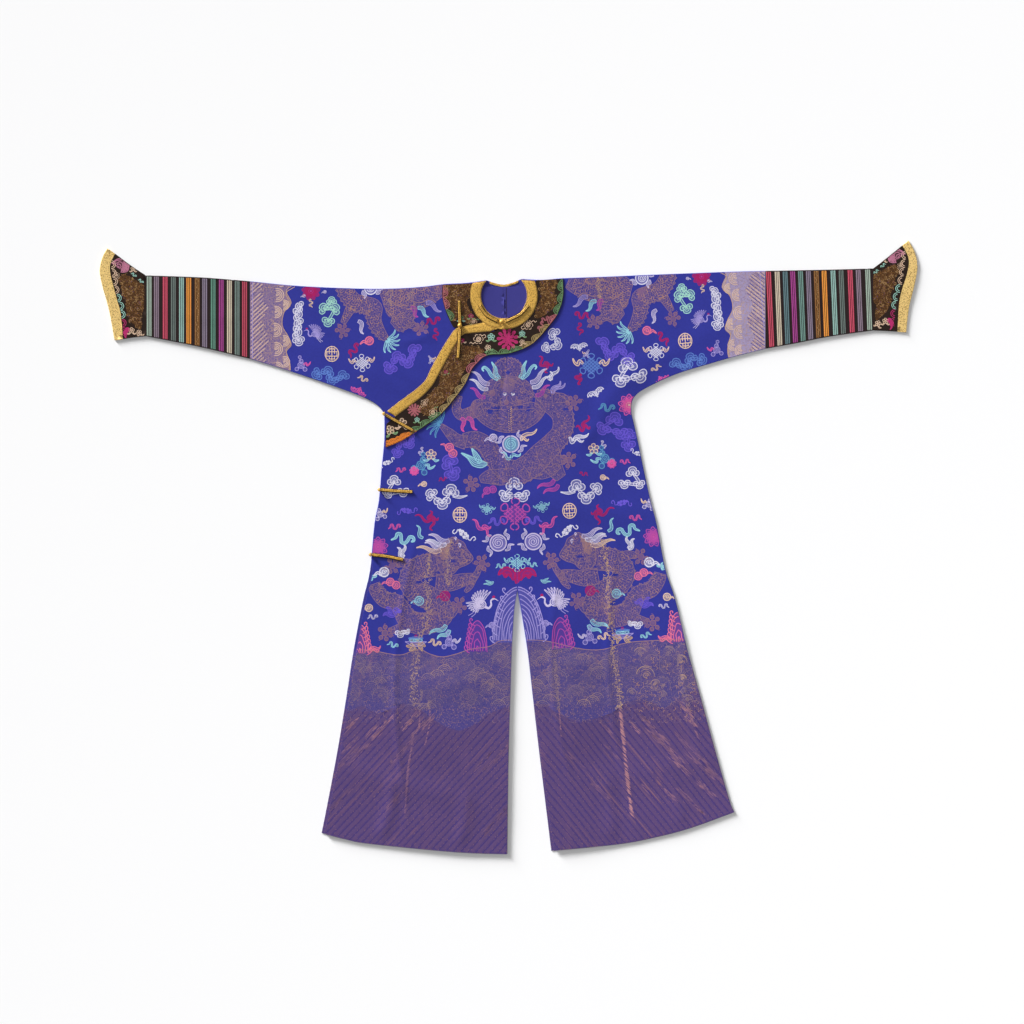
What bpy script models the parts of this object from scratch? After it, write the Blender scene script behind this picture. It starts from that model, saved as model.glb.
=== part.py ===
"""Chinese dragon robe, laid flat with its front up.

Metres. +X runs to the wearer's left sleeve, +Y to the neck, +Z up, and the robe lies on z = 0.
Right and left are the wearer's. The cut is the old one: each length of silk runs from the back hem
over the shoulder to the front hem, with the upper sleeve in one with it.
"""
import math
from collections import namedtuple

import bmesh
import bpy

# ---- Driving sizes ----------------------------------------------------------------------------
WALL = 0.0012                 # one lined layer of silk
GAP = 0.0003                  # between layers, and across a seam
LAYER = WALL + GAP
ROUND_STEPS = 4               # points on each stretch of a smooth edge

SEAM_RIGHT = -0.628           # loom width: where the striped bands are sewn on
SEAM_LEFT = 0.624
CUFF_RIGHT = -0.881           # where the cuffs are sewn on
CUFF_LEFT = 0.886
SLIT_TOP = (0.022, -0.104)
SIDE_OPENING_TOP = -0.045     # below this the back shows beside the right skirt
SIDE_SHOW = 0.007
SLIT_SHOW_RIGHT = 0.001       # how far the back shows in the slit at the hem, on each skirt
SLIT_SHOW_LEFT = 0.007

NECK_CENTRE = (-0.011, 0.612)
NECK_RADIUS = 0.056
NECK_BINDING_WIDTH = 0.026
NECK_POINT_RIGHT = (-0.053, 0.6485)
NECK_POINT_LEFT = (0.031, 0.6515)
NECK_SPLIT_ANGLE = 265        # where the two neck bindings cross, in degrees
BACK_NECK_LOW = (NECK_CENTRE[0], 0.6385)
BACK_BINDING_WIDTH = 0.005
BINDING_THICKNESS = 0.0020
EDGING_THICKNESS = 0.0015

RAMP_START = 0.15             # the left front comes down from the overlap's height between these
RAMP_END = 0.27

STRAP_WIDTH = 0.0075
STRAP_THICKNESS = 0.0015
BALL_RADIUS = 0.0055
KNOT_RADIUS = 0.0045

# ---- Tables -----------------------------------------------------------------------------------
SleeveRow = namedtuple("SleeveRow", "x top under")
BodyRow = namedtuple("BodyRow", "y right left")
SlitRow = namedtuple("SlitRow", "y right left")

RIGHT_SLEEVE = (
    SleeveRow(SEAM_RIGHT, 0.6460, 0.4590),
    SleeveRow(-0.531, 0.6360, 0.4290),
    SleeveRow(-0.434, 0.6305, 0.3960),
    SleeveRow(-0.358, 0.6280, 0.3680),
    SleeveRow(-0.319, 0.6275, 0.3470),
)
LEFT_SLEEVE = (
    SleeveRow(SEAM_LEFT, 0.6710, 0.4835),
    SleeveRow(0.555, 0.6695, 0.4660),
    SleeveRow(0.485, 0.6670, 0.4460),
    SleeveRow(0.405, 0.6640, 0.4210),
    SleeveRow(0.332, 0.6610, 0.3870),
)
RIGHT_SHOULDER = ((-0.259, 0.629), (-0.203, 0.633), (-0.156, 0.639), (-0.100, 0.642))
LEFT_SHOULDER = ((0.227, 0.6565), (0.130, 0.6530), (0.080, 0.6490))
BODY = (
    BodyRow(0.325, -0.3010, 0.2980),
    BodyRow(0.261, -0.3010, 0.3130),
    BodyRow(0.188, -0.3080, 0.3280),
    BodyRow(0.115, -0.3140, 0.3440),
    BodyRow(0.057, -0.3250, 0.3590),
    BodyRow(-0.055, -0.3360, 0.3810),
    BodyRow(-0.128, -0.3530, 0.4050),
    BodyRow(-0.249, -0.3760, 0.4340),
    BodyRow(-0.371, -0.3950, 0.4680),
    BodyRow(-0.492, -0.4150, 0.5010),
    BodyRow(-0.614, -0.4380, 0.5360),
)
SLIT = (
    SlitRow(-0.152, 0.0140, 0.0310),
    SlitRow(-0.249, 0.0080, 0.0460),
    SlitRow(-0.371, 0.0040, 0.0600),
    SlitRow(-0.492, 0.0005, 0.0740),
    SlitRow(-0.614, -0.0015, 0.0890),
)
RIGHT_HEM = ((-0.454, -0.694), (-0.395, -0.709), (-0.336, -0.720), (-0.130, -0.740), (-0.003, -0.745))
LEFT_HEM = ((0.548, -0.643), (0.441, -0.682), (0.353, -0.705), (0.266, -0.721), (0.104, -0.737))
LEFT_UNDERARM = ((0.305, 0.366), (0.298, 0.345))

RIGHT_BAND_TOP = ((SEAM_RIGHT, 0.6460), (-0.728, 0.654), (-0.788, 0.657), (CUFF_RIGHT, 0.660))
RIGHT_BAND_UNDER = ((CUFF_RIGHT, 0.514), (-0.788, 0.496), (-0.728, 0.483), (SEAM_RIGHT, 0.4590))
LEFT_BAND_TOP = ((SEAM_LEFT, 0.6710), (0.779, 0.6740), (CUFF_LEFT, 0.6770))
LEFT_BAND_UNDER = ((CUFF_LEFT, 0.5280), (0.779, 0.5130), (0.704, 0.4980), (SEAM_LEFT, 0.4835))

RIGHT_CUFF_TOP = ((CUFF_RIGHT, 0.660), (-0.900, 0.672), (-0.926, 0.690), (-0.956, 0.713))
RIGHT_CUFF_MOUTH = (
    (-0.956, 0.713), (-0.967, 0.691), (-0.968, 0.669), (-0.960, 0.635), (-0.951, 0.601),
    (-0.942, 0.567), (-0.937, 0.507),
)
RIGHT_CUFF_UNDER = ((-0.937, 0.507), (-0.911, 0.511), (CUFF_RIGHT, 0.514))
RIGHT_EDGE_TIP = (-0.975, 0.726)
RIGHT_EDGE_MOUTH = (
    RIGHT_EDGE_TIP, (-0.987, 0.703), (-0.9925, 0.679), (-0.992, 0.662), (-0.985, 0.630),
    (-0.975, 0.596), (-0.966, 0.557), (-0.957, 0.504),
)
LEFT_CUFF_TOP = ((CUFF_LEFT, 0.677), (0.905, 0.691), (0.930, 0.711), (0.957, 0.733))
LEFT_CUFF_MOUTH = (
    (0.957, 0.733), (0.969, 0.712), (0.973, 0.692), (0.968, 0.664), (0.957, 0.629),
    (0.949, 0.592), (0.945, 0.525),
)
LEFT_CUFF_UNDER = ((0.945, 0.525), (0.914, 0.527), (CUFF_LEFT, 0.528))
LEFT_EDGE_TIP = (0.972, 0.745)
LEFT_EDGE_MOUTH = (
    LEFT_EDGE_TIP, (0.986, 0.718), (0.9925, 0.692), (0.992, 0.669), (0.984, 0.630),
    (0.974, 0.591), (0.969, 0.557), (0.966, 0.523),
)

# The gold edging of the overlap: a short level stretch to the corner, then a long curve to the underarm.
OVERLAP_OUTER_TOP = ((-0.060, 0.5459), (-0.104, 0.5380), (-0.124, 0.5330))
OVERLAP_INNER_TOP = ((-0.028, 0.5255), (-0.067, 0.5230), (-0.107, 0.5190))
OVERLAP_OUTER_SIDE = (
    (-0.124, 0.533), (-0.133, 0.526), (-0.150, 0.501), (-0.169, 0.469), (-0.188, 0.434),
    (-0.201, 0.407), (-0.227, 0.382), (-0.264, 0.355), (-0.294, 0.331),
)
OVERLAP_INNER_SIDE = (
    (-0.107, 0.519), (-0.115, 0.513), (-0.130, 0.492), (-0.148, 0.460), (-0.168, 0.424),
    (-0.184, 0.395), (-0.209, 0.368), (-0.244, 0.341), (-0.274, 0.319),
)
FACING_EDGE = (
    (0.133, 0.6525), (0.133, 0.606), (0.119, 0.565), (0.099, 0.537), (0.071, 0.505), (0.043, 0.485),
    (-0.001, 0.470), (-0.050, 0.466), (-0.074, 0.449), (-0.090, 0.428), (-0.106, 0.396),
    (-0.134, 0.356), (-0.163, 0.324), (-0.195, 0.299), (-0.227, 0.279), (-0.261, 0.258),
    (-0.2985, 0.243),
)
INNER_FACING_EDGE = ((-0.160, 0.6375), (-0.161, 0.609), (-0.154, 0.579), (-0.143, 0.552), (-0.1345, 0.5355))

# How high the top of each surface is on which a toggle lies.
SURFACE_TOPS = {
    "outer_front": 2 * LAYER + WALL,
    "inner_facing": 2 * LAYER + WALL,
    "edging": 3 * LAYER + EDGING_THICKNESS,
    "inner_binding": 2 * LAYER + BINDING_THICKNESS,
    "outer_binding": 3 * LAYER + BINDING_THICKNESS,
}
StrapRow = namedtuple("StrapRow", "name points lies_on")
STRAPS = (
    StrapRow("toggle_neck_tail", ((-0.070, 0.588), (-0.053, 0.564), (-0.0260, 0.5495)), "inner_binding"),
    StrapRow("toggle_neck_loop", ((-0.008, 0.5490), (0.026, 0.5650), (0.048, 0.588)), "outer_binding"),
    StrapRow("toggle_chest_tail", ((-0.120, 0.599), (-0.119, 0.5700), (-0.118, 0.5430)), "inner_facing"),
    StrapRow("toggle_chest_loop", ((-0.118, 0.5310), (-0.120, 0.497), (-0.123, 0.460)), "edging"),
    StrapRow("toggle_underarm_loop", ((-0.2985, 0.3222), (-0.270, 0.3055), (-0.232, 0.284)), "edging"),
    StrapRow("toggle_upper_side_loop", ((-0.3098, 0.1400), (-0.272, 0.1370), (-0.233, 0.135)), "outer_front"),
    StrapRow("toggle_lower_side_loop", ((-0.3313, -0.0180), (-0.294, -0.022), (-0.256, -0.030)), "outer_front"),
)
BallRow = namedtuple("BallRow", "name x y radius lies_on")
BALLS = (
    BallRow("button_neck", -0.0165, 0.5480, BALL_RADIUS, "outer_binding"),
    BallRow("button_chest", -0.1180, 0.5390, BALL_RADIUS, "inner_facing"),
    BallRow("knot_underarm", -0.3025, 0.3245, KNOT_RADIUS, "outer_front"),
    BallRow("knot_upper_side", -0.3135, 0.1400, KNOT_RADIUS, "outer_front"),
    BallRow("knot_lower_side", -0.3350, -0.0175, KNOT_RADIUS, "outer_front"),
)

# ---- Finishes ---------------------------------------------------------------------------------
Finish = namedtuple("Finish", "red green blue roughness metallic")
SILK = Finish(0.032, 0.024, 0.350, 0.55, 0.0)
LINING = Finish(0.065, 0.055, 0.360, 0.60, 0.0)
DARK_SATIN = Finish(0.025, 0.012, 0.008, 0.50, 0.0)
STRIPES = Finish(0.260, 0.040, 0.080, 0.55, 0.0)
GOLD_CLOTH = Finish(0.680, 0.420, 0.060, 0.50, 0.0)
GILT = Finish(0.800, 0.560, 0.180, 0.30, 1.0)


def clear_scene():
    """Remove the objects of the open scene."""
    for existing in list(bpy.data.objects):
        bpy.data.objects.remove(existing)


def make_material(name, finish):
    """A plain surface in one colour."""
    material = bpy.data.materials.new(name)
    material.use_nodes = True
    shader = material.node_tree.nodes["Principled BSDF"]
    shader.inputs["Base Color"].default_value = (finish.red, finish.green, finish.blue, 1.0)
    shader.inputs["Roughness"].default_value = finish.roughness
    shader.inputs["Metallic"].default_value = finish.metallic
    return material


def add_object(name, mesh_source, finish):
    """Turn a bmesh into a named object of the robe."""
    mesh = bpy.data.meshes.new(name)
    bmesh.ops.recalc_face_normals(mesh_source, faces=mesh_source.faces)
    mesh_source.to_mesh(mesh)
    mesh_source.free()
    piece = bpy.data.objects.new(name, mesh)
    mesh.materials.append(make_material(name, finish))
    bpy.data.collections["dragon_robe"].objects.link(piece)
    return piece


def thicken(piece, thickness, offset):
    """Give an open surface its wall."""
    wall = piece.modifiers.new("wall", "SOLIDIFY")
    wall.solidify_mode = "NON_MANIFOLD"
    wall.nonmanifold_thickness_mode = "CONSTRAINTS"
    wall.nonmanifold_merge_threshold = GAP / 10
    wall.thickness = thickness
    wall.offset = offset
    return piece


def smooth(points, steps=ROUND_STEPS):
    """A Catmull-Rom curve through the points, ends kept."""
    padded = [points[0], *points, points[-1]]
    curve = []
    for before, start, end, after in zip(padded, padded[1:], padded[2:], padded[3:]):
        for step in range(steps):
            t = step / steps
            curve.append(tuple(
                0.5 * (2 * b + (c - a) * t + (2 * a - 5 * b + 4 * c - d) * t ** 2
                       + (3 * b - a - 3 * c + d) * t ** 3)
                for a, b, c, d in zip(before, start, end, after)
            ))
    curve.append(tuple(points[-1]))
    return curve


def join(*chains):
    """Chains of points end to end as one closed outline, each shared point once."""
    outline = []
    for chain in chains:
        for point in chain:
            if not outline or math.dist(outline[-1], point) > GAP / 10:
                outline.append(point)
    if math.dist(outline[0], outline[-1]) < GAP / 10:
        outline.pop()
    return outline


def neck_arc(radius, start, end, steps=20):
    """Points on a circle round the neck's centre, from one angle to the other, in degrees."""
    angles = [math.radians(start + (end - start) * step / steps) for step in range(steps + 1)]
    return [
        (NECK_CENTRE[0] + radius * math.cos(angle), NECK_CENTRE[1] + radius * math.sin(angle))
        for angle in angles
    ]


def neck_angle(point):
    """The angle of a point round the neck's centre, from 0 to 360 degrees."""
    angle = math.degrees(math.atan2(point[1] - NECK_CENTRE[1], point[0] - NECK_CENTRE[0]))
    return angle % 360


def shifted(points, dx, dy=0.0):
    """The same points moved sideways."""
    return [(x + dx, y + dy) for x, y in points]


# ---- Shared edges of the pieces ---------------------------------------------------------------
def fold_line(side):
    """The top edge over one shoulder, from the sleeve's seam to the neck."""
    sleeve, shoulder, neck = {
        "right": (RIGHT_SLEEVE, RIGHT_SHOULDER, NECK_POINT_RIGHT),
        "left": (LEFT_SLEEVE, LEFT_SHOULDER, NECK_POINT_LEFT),
    }[side]
    return smooth([(row.x, row.top) for row in sleeve] + list(shoulder) + [neck])


def underarm_line(side):
    """The sleeve's lower edge, from the armpit out to its seam."""
    sleeve = RIGHT_SLEEVE if side == "right" else LEFT_SLEEVE
    points = [(row.x, row.under) for row in sleeve]
    if side == "left":
        points += LEFT_UNDERARM
    points.append((getattr(BODY[0], side), BODY[0].y))
    return smooth(points)[::-1]


def side_line(side):
    """The body's side, from the hem's corner up to the armpit."""
    hem = RIGHT_HEM if side == "right" else LEFT_HEM
    return smooth([(getattr(row, side), row.y) for row in BODY] + [hem[0]])[::-1]


def slit_line(side):
    """The slit's edge of one skirt, from its top down to the hem."""
    hem = RIGHT_HEM if side == "right" else LEFT_HEM
    return smooth([SLIT_TOP] + [(getattr(row, side), row.y) for row in SLIT] + [hem[-1]])


def hem_line(side):
    """The hem of one skirt, from the slit out to the side."""
    return smooth(RIGHT_HEM if side == "right" else LEFT_HEM)[::-1]


def set_back_from_slit(points, side):
    """A front's slit edge, drawn back from the back's by a share that grows to the hem."""
    show = -SLIT_SHOW_RIGHT if side == "right" else SLIT_SHOW_LEFT
    depth = SLIT_TOP[1] - RIGHT_HEM[-1][1]
    return [(x + show * ((SLIT_TOP[1] - y) / depth) ** 2, y) for x, y in points]


def back_neckline(side):
    """The back's neckline, from one neck point to its low middle."""
    line = smooth([NECK_POINT_RIGHT, BACK_NECK_LOW, NECK_POINT_LEFT])
    return line[:ROUND_STEPS + 1] if side == "right" else line[:ROUND_STEPS - 1:-1]


def seam_x(y):
    """The centre seam, which leans a little, at one height."""
    share = (NECK_CENTRE[1] - y) / (NECK_CENTRE[1] - SLIT_TOP[1])
    return NECK_CENTRE[0] + share * (SLIT_TOP[0] - NECK_CENTRE[0])


def centre_line(top, side, inset=GAP / 2):
    """The centre seam from a height down to the slit, on one side of the seam."""
    away = -inset if side == "right" else inset
    return [(seam_x(top) + away, top), (SLIT_TOP[0] + away, SLIT_TOP[1])]


# ---- Builders ---------------------------------------------------------------------------------
def front_height(level, ramp):
    """Top of a front panel: level, or with the left front's ramp down to its side."""
    def height(x):
        share = min(max((x - RAMP_START) / (RAMP_END - RAMP_START), 0.0), 1.0) if ramp else 0.0
        return (level - share) * LAYER + WALL
    return height


def cut_at_ramp(mesh_source):
    """Add edges where the left front's ramp starts and ends."""
    for x in (RAMP_START, RAMP_END):
        bmesh.ops.bisect_plane(
            mesh_source,
            geom=[*mesh_source.verts, *mesh_source.edges, *mesh_source.faces],
            plane_co=(x, 0, 0),
            plane_no=(1, 0, 0),
            dist=GAP / 100,
        )


def build_panel(name, outline, level, finish, ramp=False, thickness=WALL):
    """A panel lying on a number of layers."""
    source = bmesh.new()
    face = source.faces.new([source.verts.new((x, y, 0)) for x, y in outline])
    face.normal_update()
    if face.normal.z < 0:
        face.normal_flip()
    if ramp:
        cut_at_ramp(source)
    height = front_height(level, ramp)
    for vertex in source.verts:
        vertex.co.z = height(vertex.co.x) - WALL
    piece = add_object(name, source, finish)
    turn_up(piece.data)
    return thicken(piece, thickness, 1.0)


def turn_up(mesh):
    """Make a flat surface's faces look up."""
    if sum(polygon.normal.z for polygon in mesh.polygons) < 0:
        mesh.flip_normals()


def build_folded(name, front, back, folds, finish, ramp=False, level=1):
    """Front and back walls in one cloth, joined along the folds, as one wall with a slot in it."""
    source = bmesh.new()
    front_vertices = {point: source.verts.new((*point, 1.0)) for point in front}
    back_vertices = {point: source.verts.new((*point, 0.0)) for point in back}
    source.faces.new([front_vertices[point] for point in front])
    source.faces.new([back_vertices[point] for point in reversed(back)])
    for fold in folds:
        for start, end in zip(fold, fold[1:]):
            source.faces.new((
                front_vertices[start], back_vertices[start], back_vertices[end], front_vertices[end],
            ))
    if ramp:
        cut_at_ramp(source)
    height = front_height(level + 1 if ramp else level, ramp)
    for vertex in source.verts:
        if vertex.co.z > 0.5:
            vertex.co.z = height(vertex.co.x)
    piece = add_object(name, source, finish)
    faces_by_height = sorted(piece.data.polygons, key=lambda polygon: polygon.center.z)
    if faces_by_height[-1].normal.z < 0:
        piece.data.flip_normals()
    return thicken(piece, WALL, -1.0)


def build_length(side, finish):
    """Half of the back, a front and the upper sleeve, cut in one and folded over the shoulder."""
    fold = fold_line(side)
    neck_edge = {
        "right": neck_arc(NECK_RADIUS, neck_angle(NECK_POINT_RIGHT), 270),
        "left": neck_arc(NECK_RADIUS, neck_angle(NECK_POINT_LEFT) + 360, 270),
    }[side]
    neck_edge[0] = fold[-1]
    under = underarm_line(side)
    flank = side_line(side)
    hem = hem_line(side)
    slit = slit_line(side)
    inner = side == "right"
    away = -1 if inner else 1
    front_slit = set_back_from_slit(slit, side)
    if inner:
        front_slit = shifted(front_slit, -2 * GAP)
    front_hem = [front_slit[-1], *hem[1:]]
    centre = centre_line(neck_edge[-1][1], side, 3 * GAP if inner else GAP / 2)
    front_flank = flank
    if inner:
        front_flank = [
            (x + (SIDE_SHOW if y < SIDE_OPENING_TOP else 0.0), y) for x, y in flank
        ]
        front_hem = [*front_hem[:-1], front_flank[0]]
    front = join(fold, neck_edge, centre, shifted(front_slit, away * GAP / 2), front_hem,
                 front_flank, under)
    back_neck = [fold[-1], *shifted(back_neckline(side)[1:], away * GAP / 2)]
    back_centre = [back_neck[-1], (SLIT_TOP[0] + away * GAP / 2, SLIT_TOP[1])]
    back = join(fold, back_neck, back_centre, shifted(slit, away * GAP / 2), hem, flank, under)
    return build_folded(f"{side}_length", front, back, [fold], finish, ramp=not inner)


def build_outer_front(finish):
    """The right half of the outer front, whose top runs across to the right underarm."""
    ring = NECK_RADIUS + NECK_BINDING_WIDTH + GAP
    edge = smooth(OVERLAP_OUTER_TOP, 2)[:-1] + smooth(OVERLAP_OUTER_SIDE)
    edge = shifted(edge, 3 * GAP, -4 * GAP)
    ring_edge = neck_arc(ring, 270, neck_angle(edge[0]), steps=8)
    flank = [
        (x + (SIDE_SHOW if y < SIDE_OPENING_TOP else 0.0), y) for x, y in side_line("right")
    ][::-1]
    slit = shifted(set_back_from_slit(slit_line("right"), "right"), -GAP / 2)
    hem = [slit[-1], *hem_line("right")[1:]]
    centre = centre_line(ring_edge[0][1], "right")
    outline = join(ring_edge[1:], edge[1:], flank[1:], hem[::-1][1:-1], slit[::-1], centre[::-1])
    return build_panel("outer_front", outline, 2, finish)


def build_pouch(name, top, mouth, under, finish):
    """A flattened tube: folded along its top and its underside, open at the mouth and the seam."""
    outline = join(top, mouth, under)
    return build_folded(name, outline, outline, [top, under], finish)


def build_sleeve_bands(finish):
    """The striped stretches of the two sleeves."""
    for side, top, under, away in (
        ("right", RIGHT_BAND_TOP, RIGHT_BAND_UNDER, -1),
        ("left", LEFT_BAND_TOP, LEFT_BAND_UNDER, 1),
    ):
        top = smooth([(top[0][0] + away * GAP, top[0][1]), *top[1:]])
        under = smooth([*under[:-1], (under[-1][0] + away * GAP, under[-1][1])])
        build_pouch(f"{side}_sleeve_band", top, [], under, finish)


def build_cuffs(satin, gold):
    """The horse-hoof cuffs and the gold edgings round their mouths."""
    for side, top, mouth, under, tip, edge_mouth, away in (
        ("right", RIGHT_CUFF_TOP, RIGHT_CUFF_MOUTH, RIGHT_CUFF_UNDER, RIGHT_EDGE_TIP,
         RIGHT_EDGE_MOUTH, -1),
        ("left", LEFT_CUFF_TOP, LEFT_CUFF_MOUTH, LEFT_CUFF_UNDER, LEFT_EDGE_TIP,
         LEFT_EDGE_MOUTH, 1),
    ):
        top = [(top[0][0] + away * GAP, top[0][1]), *top[1:]]
        under = [*under[:-1], (under[-1][0] + away * GAP, under[-1][1])]
        inner_mouth = smooth(mouth, 3)
        build_pouch(f"{side}_cuff", smooth(top), inner_mouth, smooth(under), satin)
        seam = shifted(inner_mouth, away * GAP)
        edging_top = [seam[0], tip]
        edging_under = [edge_mouth[-1], seam[-1]]
        outline = join(edging_top, smooth(edge_mouth, 3), edging_under, seam[::-1])
        build_folded(f"{side}_cuff_edging", outline, outline, [edging_top, edging_under], gold)


def build_facings(finish):
    """The dark collar facing on the outer front, and its start on the inner front."""
    ring = NECK_RADIUS + NECK_BINDING_WIDTH + GAP
    shoulder = [(0.0660, 0.6485), FACING_EDGE[0]]
    inner_edge = shifted(smooth(OVERLAP_INNER_TOP, 2)[:-1] + smooth(OVERLAP_INNER_SIDE), GAP, -GAP)
    ring_edge = neck_arc(ring, neck_angle(inner_edge[0]), neck_angle(shoulder[0]) + 360)
    end = [(-0.2965, 0.300)]
    outline = join(shoulder, smooth(FACING_EDGE), end, inner_edge[::-1], ring_edge[:-1])
    build_panel("collar_facing", outline, 3, finish)

    top = [INNER_FACING_EDGE[0], (-0.0885, 0.6410)]
    corner = shifted(OVERLAP_OUTER_TOP, 0, GAP)
    ring_edge = neck_arc(ring, neck_angle(top[1]), neck_angle(corner[0]))
    outline = join(top, ring_edge[1:-1], smooth(corner, 2), smooth(INNER_FACING_EDGE)[::-1])
    build_panel("inner_collar_facing", outline, 2, finish)


def build_neck_bindings(finish):
    """Round the neck: one binding on the inner front, one on the outer, one across the back."""
    outer_radius = NECK_RADIUS + NECK_BINDING_WIDTH
    for name, neck_start, ring_start, split, level in (
        ("neck_binding_inner", 140.0, 158.5, NECK_SPLIT_ANGLE, 2),
        ("neck_binding_outer", 402.0, 386.0, NECK_SPLIT_ANGLE, 3),
    ):
        inner_edge = neck_arc(NECK_RADIUS, neck_start, split)
        outer_edge = neck_arc(outer_radius, ring_start, split)
        outline = join(inner_edge, outer_edge[::-1])
        build_panel(name, outline, level, finish, thickness=BINDING_THICKNESS)

    upper = shifted(back_neckline("right")[1:] + back_neckline("left")[-2:0:-1], 0, -GAP)
    outline = join(upper, shifted(upper, 0, -BACK_BINDING_WIDTH)[::-1])
    build_panel("neck_binding_back", outline, 1, finish)


def build_overlap_edgings(finish):
    """The gold edging along the top of the overlap, mitred at the chest corner."""
    top_outer = smooth(OVERLAP_OUTER_TOP, 2)
    top_inner = smooth(OVERLAP_INNER_TOP, 2)
    ring = NECK_RADIUS + NECK_BINDING_WIDTH + GAP
    ring_edge = neck_arc(ring, neck_angle(OVERLAP_OUTER_TOP[0]), neck_angle(OVERLAP_INNER_TOP[0]), 6)
    outline = join(ring_edge, top_inner[1:], top_outer[:0:-1])
    build_panel("overlap_edging_top", outline, 3, finish, thickness=EDGING_THICKNESS)
    side = join(smooth(OVERLAP_OUTER_SIDE), smooth(OVERLAP_INNER_SIDE)[::-1])
    build_panel("overlap_edging_side", shifted(side, -GAP, -GAP / 2), 3, finish,
                thickness=EDGING_THICKNESS)


def build_neck_lining(finish):
    """The back's lining, where the neck shows it, in two halves with a centre seam."""
    radius = NECK_RADIUS - GAP
    top = BACK_NECK_LOW[1] - BACK_BINDING_WIDTH - 2 * GAP
    reach = math.degrees(math.asin((top - NECK_CENTRE[1]) / radius))
    for side, start, seam in (
        ("right", 180 - reach, NECK_CENTRE[0] - GAP / 2),
        ("left", 360 + reach, NECK_CENTRE[0] + GAP / 2),
    ):
        bottom = 270 + (seam - NECK_CENTRE[0]) / radius
        outline = join(neck_arc(radius, start, bottom), [(seam, top)])
        build_panel(f"neck_lining_{side}", outline, 1, finish)


def build_strap(row, finish):
    """A flat strap along its centre line."""
    line = smooth(row.points)
    z = SURFACE_TOPS[row.lies_on] + GAP
    source = bmesh.new()
    rails = []
    for index, (x, y) in enumerate(line):
        before = line[max(index - 1, 0)]
        after = line[min(index + 1, len(line) - 1)]
        length = math.dist(before, after)
        across = (before[1] - after[1]) / length, (after[0] - before[0]) / length
        rails.append([
            source.verts.new((x + hand * across[0] * STRAP_WIDTH / 2,
                              y + hand * across[1] * STRAP_WIDTH / 2, z))
            for hand in (-1, 1)
        ])
    for start, end in zip(rails, rails[1:]):
        source.faces.new((start[0], end[0], end[1], start[1]))
    piece = add_object(row.name, source, finish)
    turn_up(piece.data)
    return thicken(piece, STRAP_THICKNESS, 1.0)


def build_ball(row, finish):
    """A round button, or a cloth knot worked as one."""
    bpy.ops.mesh.primitive_uv_sphere_add(
        segments=16, ring_count=10, radius=row.radius,
        location=(row.x, row.y, SURFACE_TOPS[row.lies_on] + GAP + row.radius),
    )
    ball = bpy.context.object
    ball.name = row.name
    ball.data.name = row.name
    ball.data.shade_smooth()
    ball.data.materials.append(make_material(row.name, finish))
    for holder in list(ball.users_collection):
        holder.objects.unlink(ball)
    bpy.data.collections["dragon_robe"].objects.link(ball)
    return ball


def main():
    """Build the robe."""
    clear_scene()
    bpy.context.scene.collection.children.link(bpy.data.collections.new("dragon_robe"))
    build_length("right", SILK)
    build_length("left", SILK)
    build_outer_front(SILK)
    build_sleeve_bands(STRIPES)
    build_cuffs(DARK_SATIN, GOLD_CLOTH)
    build_facings(DARK_SATIN)
    build_neck_bindings(GOLD_CLOTH)
    build_overlap_edgings(GOLD_CLOTH)
    build_neck_lining(LINING)
    for row in STRAPS:
        build_strap(row, GOLD_CLOTH)
    for row in BALLS:
        build_ball(row, GILT if row.name.startswith("button") else GOLD_CLOTH)


if __name__ == "__main__":
    main()
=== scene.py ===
"""Looks of the dragon robe: silk shells on the cut pieces, with the woven and sewn ornament on them.

Metres, with the ornament drawn in millimetres. +X runs to the wearer's left sleeve, +Y to the neck.
Right and left are the wearer's. Heights over the ground are counted in layers of cloth.
"""
import logging
import math
from dataclasses import dataclass, field
from enum import Enum
from typing import Callable, Iterable, Sequence

import bpy
import numpy as np
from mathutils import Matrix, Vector
from mathutils.bvhtree import BVHTree
from mathutils.geometry import delaunay_2d_cdt


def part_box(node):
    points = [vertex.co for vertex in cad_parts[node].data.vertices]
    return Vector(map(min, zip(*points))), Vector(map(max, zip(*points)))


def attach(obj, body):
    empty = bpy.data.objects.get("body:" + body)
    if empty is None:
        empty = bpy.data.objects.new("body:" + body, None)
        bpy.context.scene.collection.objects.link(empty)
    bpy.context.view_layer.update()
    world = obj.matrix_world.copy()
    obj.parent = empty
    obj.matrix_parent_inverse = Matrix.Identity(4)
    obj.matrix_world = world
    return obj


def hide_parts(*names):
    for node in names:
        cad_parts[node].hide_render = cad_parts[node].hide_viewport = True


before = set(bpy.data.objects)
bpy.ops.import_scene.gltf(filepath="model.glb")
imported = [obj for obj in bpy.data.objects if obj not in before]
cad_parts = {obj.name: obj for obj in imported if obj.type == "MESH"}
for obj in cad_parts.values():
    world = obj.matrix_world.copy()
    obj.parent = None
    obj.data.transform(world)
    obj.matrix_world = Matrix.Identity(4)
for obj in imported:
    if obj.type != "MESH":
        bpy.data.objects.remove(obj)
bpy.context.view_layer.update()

LOG = logging.getLogger("dragon_robe")
MM = 0.001
TINY = 1e-9  # the least length that is divided by

WALL = 0.0012
LAYER = 0.0015
RAMP_START = 0.15
RAMP_END = 0.27
UNDERSIDE_RELIEF = 0.0003  # the back's own face lies this high, so its ornament stays over the ground
FRONT_STEP = 0.009  # spacing of the points on a front shell
BACK_STEP = 0.018
FACING_STEP = 0.008
EDGING_STEP = 0.0035
EDGING_CROWN = 0.0006  # how far a gold edging's edges are rolled down
SEAM_TOP = (-0.0055, 0.640)
SEAM_FOOT = (0.022, -0.104)

Colour = tuple[float, float, float, float]
Points = np.ndarray


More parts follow.
